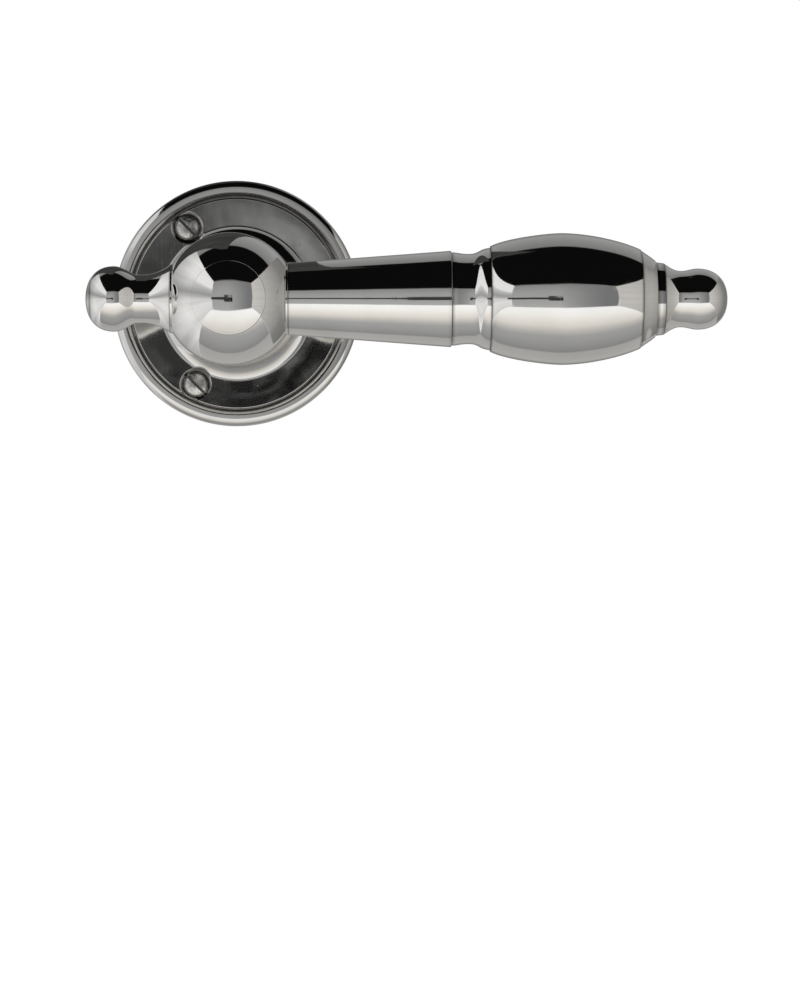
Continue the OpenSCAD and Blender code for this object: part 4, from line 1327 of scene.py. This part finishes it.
def tent_light(world, looks):
    """Light tent, told by direction: where each wall of a box round the object would show.

    The roll angle atan2(z, -y) picks the tone of the front wall, table, top and back from a ramp, and a
    side wall takes over where |x| over its distance is more than |y| and |z| over theirs. The camera
    sees plain white, and matt surfaces are lit evenly.
    """
    bench = Bench(world.node_tree)
    direction = bench.add("ShaderNodeTexCoord", {}, {}, "Generated")
    split = {"Vector": direction}
    x = bench.add("ShaderNodeSeparateXYZ", {}, split, "X")
    y = bench.add("ShaderNodeSeparateXYZ", {}, split, "Y")
    z = bench.add("ShaderNodeSeparateXYZ", {}, split, "Z")
    roll = bench.add("ShaderNodeMath", {"operation": "ARCTAN2"}, {0: z, 1: y * -1.0}) * (0.5 / math.pi) + 0.5

    def at(degrees):
        return 0.5 + degrees / 360

    stops = [
        (at(-180), 0.45), (at(-150), (0.5, 0.49, 0.475)), (at(-112), (0.46, 0.455, 0.45)), (at(-107), 0.3),
        (at(-98), 0.34), (at(-82), 0.4), (at(-70), 0.44), (at(-60), (0.62, 0.6, 0.57)),
        (at(-50), (0.85, 0.81, 0.76)), (at(-40), (0.98, 0.95, 0.9)),
        (at(-30), (1.1, 1.08, 1.04)), (at(-20), 1.14), (at(-16.5), 1.12),
        (at(-15.8), 0.5), (at(-6), 0.45), (at(2), 0.43), (at(12), 0.4), (at(25), 0.3), (at(25.6), 0.004),
        (at(104), 0.004), (at(106), 0.24), (at(125), 0.31), (at(140), 0.36), (at(180), 0.42),
    ]
    body = bench.add("ShaderNodeValToRGB", {"stops": stops}, {"Fac": roll})
    on_front = (z - 0.27 * y > 0.0) * (z + 0.49 * y < 0.0)
    body = bench.blend(on_front * x.within(-0.02, 0.45), body, (0.22, 0.22, 0.225))
    side = (x * (1 / 0.675)).most(x * (-1 / 0.43))
    roof = 0.48 + 0.1 * (y + 0.8)
    table = (0.27 + 0.29 * (y + 0.86)).most(0.27)
    height = (z / roof).most(z * -1.0 / table)
    depth = (y * 0.8).most(y * -1.0)
    beyond = side - depth.most(height)
    on_side = beyond.within(-0.004, 0.004)
    left = x < 0.0
    fold = z / (x * -1.0).most(0.05)
    folds = bench.add("ShaderNodeCombineXYZ", {}, {"X": fold, "Y": 0.3, "Z": y * 0.15})
    streak = bench.noise(folds, 3.0, 2.0, 0.5)
    band = fold.within(-0.06, 0.16) * fold.within(0.55, 0.2)
    fade = y.within(-0.1, 0.9, 1.0, 0.5)
    white_wall = streak.within(0.3, 0.65, 0.72, 1.0) * (1.0 - 0.55 * band) * looks.sheen * fade
    grey_wall = y.within(-0.75, 0.35, 0.66, 0.3) * streak.within(0.3, 0.7, 0.9, 1.06)
    grey_wall = grey_wall * y.within(0.2, 0.8, 1.0, 0.7)
    left_tone = bench.blend(white_wall, (0, 0, 0), (1.0, 1.0, 1.0))
    right_tone = bench.blend(grey_wall, (0, 0, 0), (1.0, 0.975, 0.94))
    tone = bench.blend(left, right_tone, left_tone)
    tent = bench.blend(on_side, body, tone)
    crease = on_side * beyond.within(0.05, 0.0) * (z < 0.0) * 0.35
    tent = bench.blend(crease, tent, (1.0, 1.0, 1.0))
    tent = bench.blend(y.within(0.84, 1.0, 0.0, 0.65), tent, (0.0, 0.0, 0.0))
    path = "ShaderNodeLightPath"
    seen = bench.add(path, {}, {}, "Is Camera Ray")
    matt = bench.add(path, {}, {}, "Is Diffuse Ray")
    glow = bench.add("ShaderNodeBackground", {}, {"Color": tent, "Strength": 1.0})
    white = bench.add("ShaderNodeBackground", {}, {"Color": (1.0, 1.0, 1.0), "Strength": 1.0 + 0.25 * matt})
    shown = bench.add("ShaderNodeMixShader", {}, {0: seen.most(matt), 1: glow, 2: white})
    bench.add("ShaderNodeOutputWorld", {}, {"Surface": shown})


def flat_sheet(name, corner, across, up, rows=2, columns=2):
    """Flat four-sided sheet: corner + s across + t up."""
    s = np.linspace(0, 1, columns)[None, :, None]
    t = np.linspace(0, 1, rows)[:, None, None]
    points = np.array(corner) + s * np.array(across) + t * np.array(up)
    mesh = bpy.data.meshes.new(name)
    mesh.from_pydata(points.reshape(-1, 3).tolist(), [], cells(rows, columns, 0).tolist())
    sheet = bpy.data.objects.new(name, mesh)
    bpy.context.scene.collection.objects.link(sheet)
    return sheet


def glowing(bench, tone):
    """Ends a tree in plain light of one tone, whatever falls on it."""
    glow = bench.add("ShaderNodeEmission", {}, {"Color": tone, "Strength": 1.0})
    bench.add("ShaderNodeOutputMaterial", {}, {"Surface": glow})


def dark_sheets():
    """What the polished faces mirror: glowing sheets for the camera's stand and its arm behind the camera,
    with painted reflection patches, and a dark cloth.
    """
    material, bench, place = new_finish("camera_painted_reflection")
    x = bench.add("ShaderNodeSeparateXYZ", {}, {"Vector": place}, "X")
    z = bench.add("ShaderNodeSeparateXYZ", {}, {"Vector": place}, "Z")
    # Painted reflection: the camera's sheets glow with a faint patch at the left, streaky patches at the
    # right and a brighter streaky band along the top, for the polished faces to mirror
    reflection_streaks = bench.noise(bench.stretched(place, (14.0, 14.0, 30.0), (0, 0.5, 0)), 1.0, 5.0, 0.65, 0.8)
    left = x.within(-0.04, -0.077, 0.0, 0.042)
    right = reflection_streaks.within(0.46, 0.66, 0.0, 0.3) * x.within(-0.077, -0.03) * x.within(0.06, 0.02)
    above = z.within(0.022, 0.059) * x.within(-0.08, 0.01, 0.1, 1.0) * reflection_streaks.within(0.46, 0.6, 0.36, 0.04)
    tone = 0.003 + left + right + above
    glowing(bench, bench.blend(tone, (0, 0, 0), (1, 1, 1)))
    cloth, bench, place = new_finish("flag_black")
    glowing(bench, bench.blend(bench.noise(place, 14.0, 3.0), (0.02, 0.02, 0.02), (0.09, 0.09, 0.088)))
    body = flat_sheet("camera_body", *CAMERA_BODY)
    arm = flat_sheet("camera_arm", *CAMERA_ARM)
    flag = flat_sheet("dark_flag", *DARK_FLAG)
    for card, look in ((body, material), (arm, material), (flag, cloth)):
        card.data.materials.append(look)
        card.visible_camera = False
        card.visible_shadow = False
        card.visible_diffuse = False


def make_floor(looks):
    """Wide pale floor under the handle, out of its mirror image."""
    material, bench, place = new_finish("pale_floor")
    grain = bench.noise(place, 12.0, 4.0)
    tone = bench.blend(grain, (0.90, 0.90, 0.90), (0.93, 0.93, 0.92))
    bench.finish(Base_Color=tone, Roughness=0.9)
    floor = flat_sheet("floor", (-6, -4, looks.floor_h), (12, 0, 0), (0, 12, 0), 13, 13)
    floor.data.materials.append(material)
    floor.visible_glossy = False


def soft_light(name, place, aim, size, power):
    light = bpy.data.lights.new(name, "AREA")
    light.shape = "DISK"
    light.size = size
    light.energy = power
    lamp = bpy.data.objects.new(name, light)
    bpy.context.scene.collection.objects.link(lamp)
    lamp.location = place
    lamp.rotation_euler = (Vector(aim) - Vector(place)).to_track_quat("-Z", "Y").to_euler()
    lamp.visible_glossy = False


# Operators


class HANDLE_OT_rose(bpy.types.Operator):
    """Makes the rose with its three countersunk holes"""
    bl_idname = "lever_handle.rose"
    bl_label = "Rose"

    def execute(self, context):
        sizes = context.scene.lever_rose
        grids = rose_surface(sizes, SCREW_DIRECTIONS, SPRING_WIRE)
        nickel = finish_named("rose_nickel")
        make_piece("door_rose", grids, ROSE_BODY, ["rose"], nickel)
        return {"FINISHED"}


class HANDLE_OT_screws(bpy.types.Operator):
    """Makes the three slotted fixing screws"""
    bl_idname = "lever_handle.screws"
    bl_label = "Fixing screws"

    def execute(self, context):
        sizes = context.scene.lever_screws
        for number, node in enumerate(SCREW_NODES):
            grids = screw_surface(sizes, SCREW_DIRECTIONS[number])
            name = f"slotted_screw_{number + 1}"
            make_piece(name, grids, ROSE_BODY, [node], finish_named("screw_nickel"))
        return {"FINISHED"}


class HANDLE_OT_neck(bpy.types.Operator):
    """Makes the baluster neck"""
    bl_idname = "lever_handle.neck"
    bl_label = "Neck"

    def execute(self, context):
        nickel = finish_named("polished_nickel")
        grids = neck_surface(context.scene.lever_neck)
        make_piece("baluster_neck", grids, LEVER_BODY, ["neck"], nickel)
        return {"FINISHED"}


class HANDLE_OT_ball(bpy.types.Operator):
    """Makes the ball and its domed cap"""
    bl_idname = "lever_handle.ball"
    bl_label = "Ball and cap"

    def execute(self, context):
        scene = context.scene
        nickel = finish_named("polished_nickel")
        grids = ball_surface(scene.lever_grip, scene.lever_neck)
        make_piece("ball", grids, LEVER_BODY, ["hub_ball"], nickel)
        line = cap_outline(scene.lever_grip)
        rim = line[line[:, 1] > CAP_HIGH[0] - 0.3 * MM]
        cap = turned(line, out_of_door, seams=(rim[0, 0], rim[0, 0] + 0.25 * MM))
        make_piece("domed_cap", [cap], LEVER_BODY, ["hub_cap"], nickel)
        return {"FINISHED"}


class HANDLE_OT_lever(bpy.types.Operator):
    """Makes the stacked pieces of the lever and the tail knob"""
    bl_idname = "lever_handle.lever"
    bl_label = "Lever"

    def execute(self, context):
        sizes = context.scene.lever_grip
        nickel = finish_named("polished_nickel")
        stack = {
            "taper_sleeve": ("grip_taper", taper_outline, along_lever),
            "cove": ("cove_ring", cove_outline, along_lever),
            "barrel": ("grip_barrel", barrel_outline, along_lever),
            "collar": ("end_collar", collar_outline, along_lever),
            "finial": ("tip_finial", finial_outline, along_lever),
            "tail": ("tail_knob", tail_outline, along_tail),
        }
        for name, (node, draw, axis) in stack.items():
            line = draw(sizes)
            outer = line[line[:, 1] > sizes.bore_r + 1 * MM]
            ends = (outer[0, 0],) if node == "tip_finial" else (outer[0, 0], outer[-1, 0])
            skin = turned(line, axis, seams=ends)
            make_piece(name, [skin], LEVER_BODY, [node], nickel)
        return {"FINISHED"}


class HANDLE_OT_inside(bpy.types.Operator):
    """Makes the spring and the spindle, and finishes the CAD pieces that are kept"""
    bl_idname = "lever_handle.inside"
    bl_label = "Inside pieces"

    def execute(self, context):
        wire = finish_named("spring_steel")
        spring = tube_surface(spring_path(), SPRING_WIRE / 2)
        make_piece("torsion_spring", [spring], ROSE_BODY, ["return_spring"], wire)
        steel = finish_named("plain_steel")
        bar = spindle_surface()
        make_piece("square_spindle", [bar], LEVER_BODY, ["spindle"], steel)
        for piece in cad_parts.values():
            if piece.hide_render:
                continue
            for place, material in enumerate(piece.data.materials):
                piece.data.materials[place] = finish_named(material.name)
        return {"FINISHED"}


class HANDLE_OT_studio(bpy.types.Operator):
    """Makes the floor, the light tent, the dark sheets, the soft light and the camera"""
    bl_idname = "lever_handle.studio"
    bl_label = "Studio"

    def execute(self, context):
        scene = context.scene
        looks = scene.lever_studio
        scene.view_settings.view_transform = "Standard"
        world = bpy.data.worlds.new("light_tent")
        world.use_nodes = True
        scene.world = world
        tent_light(world, looks)
        make_floor(looks)
        dark_sheets()
        soft_light("soft_top", (0.3, -0.5, 1.4), (0, 0, 0), 1.2, 12)
        camera_data = bpy.data.cameras.new("camera")
        camera_data.lens = looks.lens
        camera_data.sensor_fit = "VERTICAL"
        camera_data.sensor_height = 36
        camera_data.clip_start = 0.01
        camera = bpy.data.objects.new("camera", camera_data)
        scene.collection.objects.link(camera)
        camera.location = CAMERA_PLACE
        camera.rotation_euler = Vector(CAMERA_AIM).to_track_quat("-Z", "Y").to_euler()
        scene.camera = camera
        return {"FINISHED"}


class HANDLE_PT_panel(bpy.types.Panel):
    """Lists the pieces of the handle"""
    bl_idname = "HANDLE_PT_panel"
    bl_label = "Lever Handle"
    bl_space_type = "VIEW_3D"
    bl_region_type = "UI"
    bl_category = "Lever Handle"

    def draw(self, context):
        for operator in OPERATORS:
            self.layout.operator(operator.bl_idname)
        for group, kind in GROUPS.items():
            box = self.layout.box()
            for name in kind.__annotations__:
                box.prop(getattr(context.scene, group), name)


OPERATORS = (
    HANDLE_OT_studio,
    HANDLE_OT_rose,
    HANDLE_OT_screws,
    HANDLE_OT_neck,
    HANDLE_OT_ball,
    HANDLE_OT_lever,
    HANDLE_OT_inside,
)


def register():
    for kind in (*GROUPS.values(), *OPERATORS, HANDLE_PT_panel):
        bpy.utils.register_class(kind)
    for name, kind in GROUPS.items():
        setattr(bpy.types.Scene, name, bpy.props.PointerProperty(type=kind))


def unregister():
    for name in GROUPS:
        delattr(bpy.types.Scene, name)
    for kind in (HANDLE_PT_panel, *reversed(OPERATORS), *reversed(GROUPS.values())):
        bpy.utils.unregister_class(kind)


def main():
    register()
    bpy.ops.lever_handle.studio()
    bpy.ops.lever_handle.rose()
    bpy.ops.lever_handle.screws()
    bpy.ops.lever_handle.neck()
    bpy.ops.lever_handle.ball()
    bpy.ops.lever_handle.lever()
    bpy.ops.lever_handle.inside()


if __name__ == "__main__":
    main()
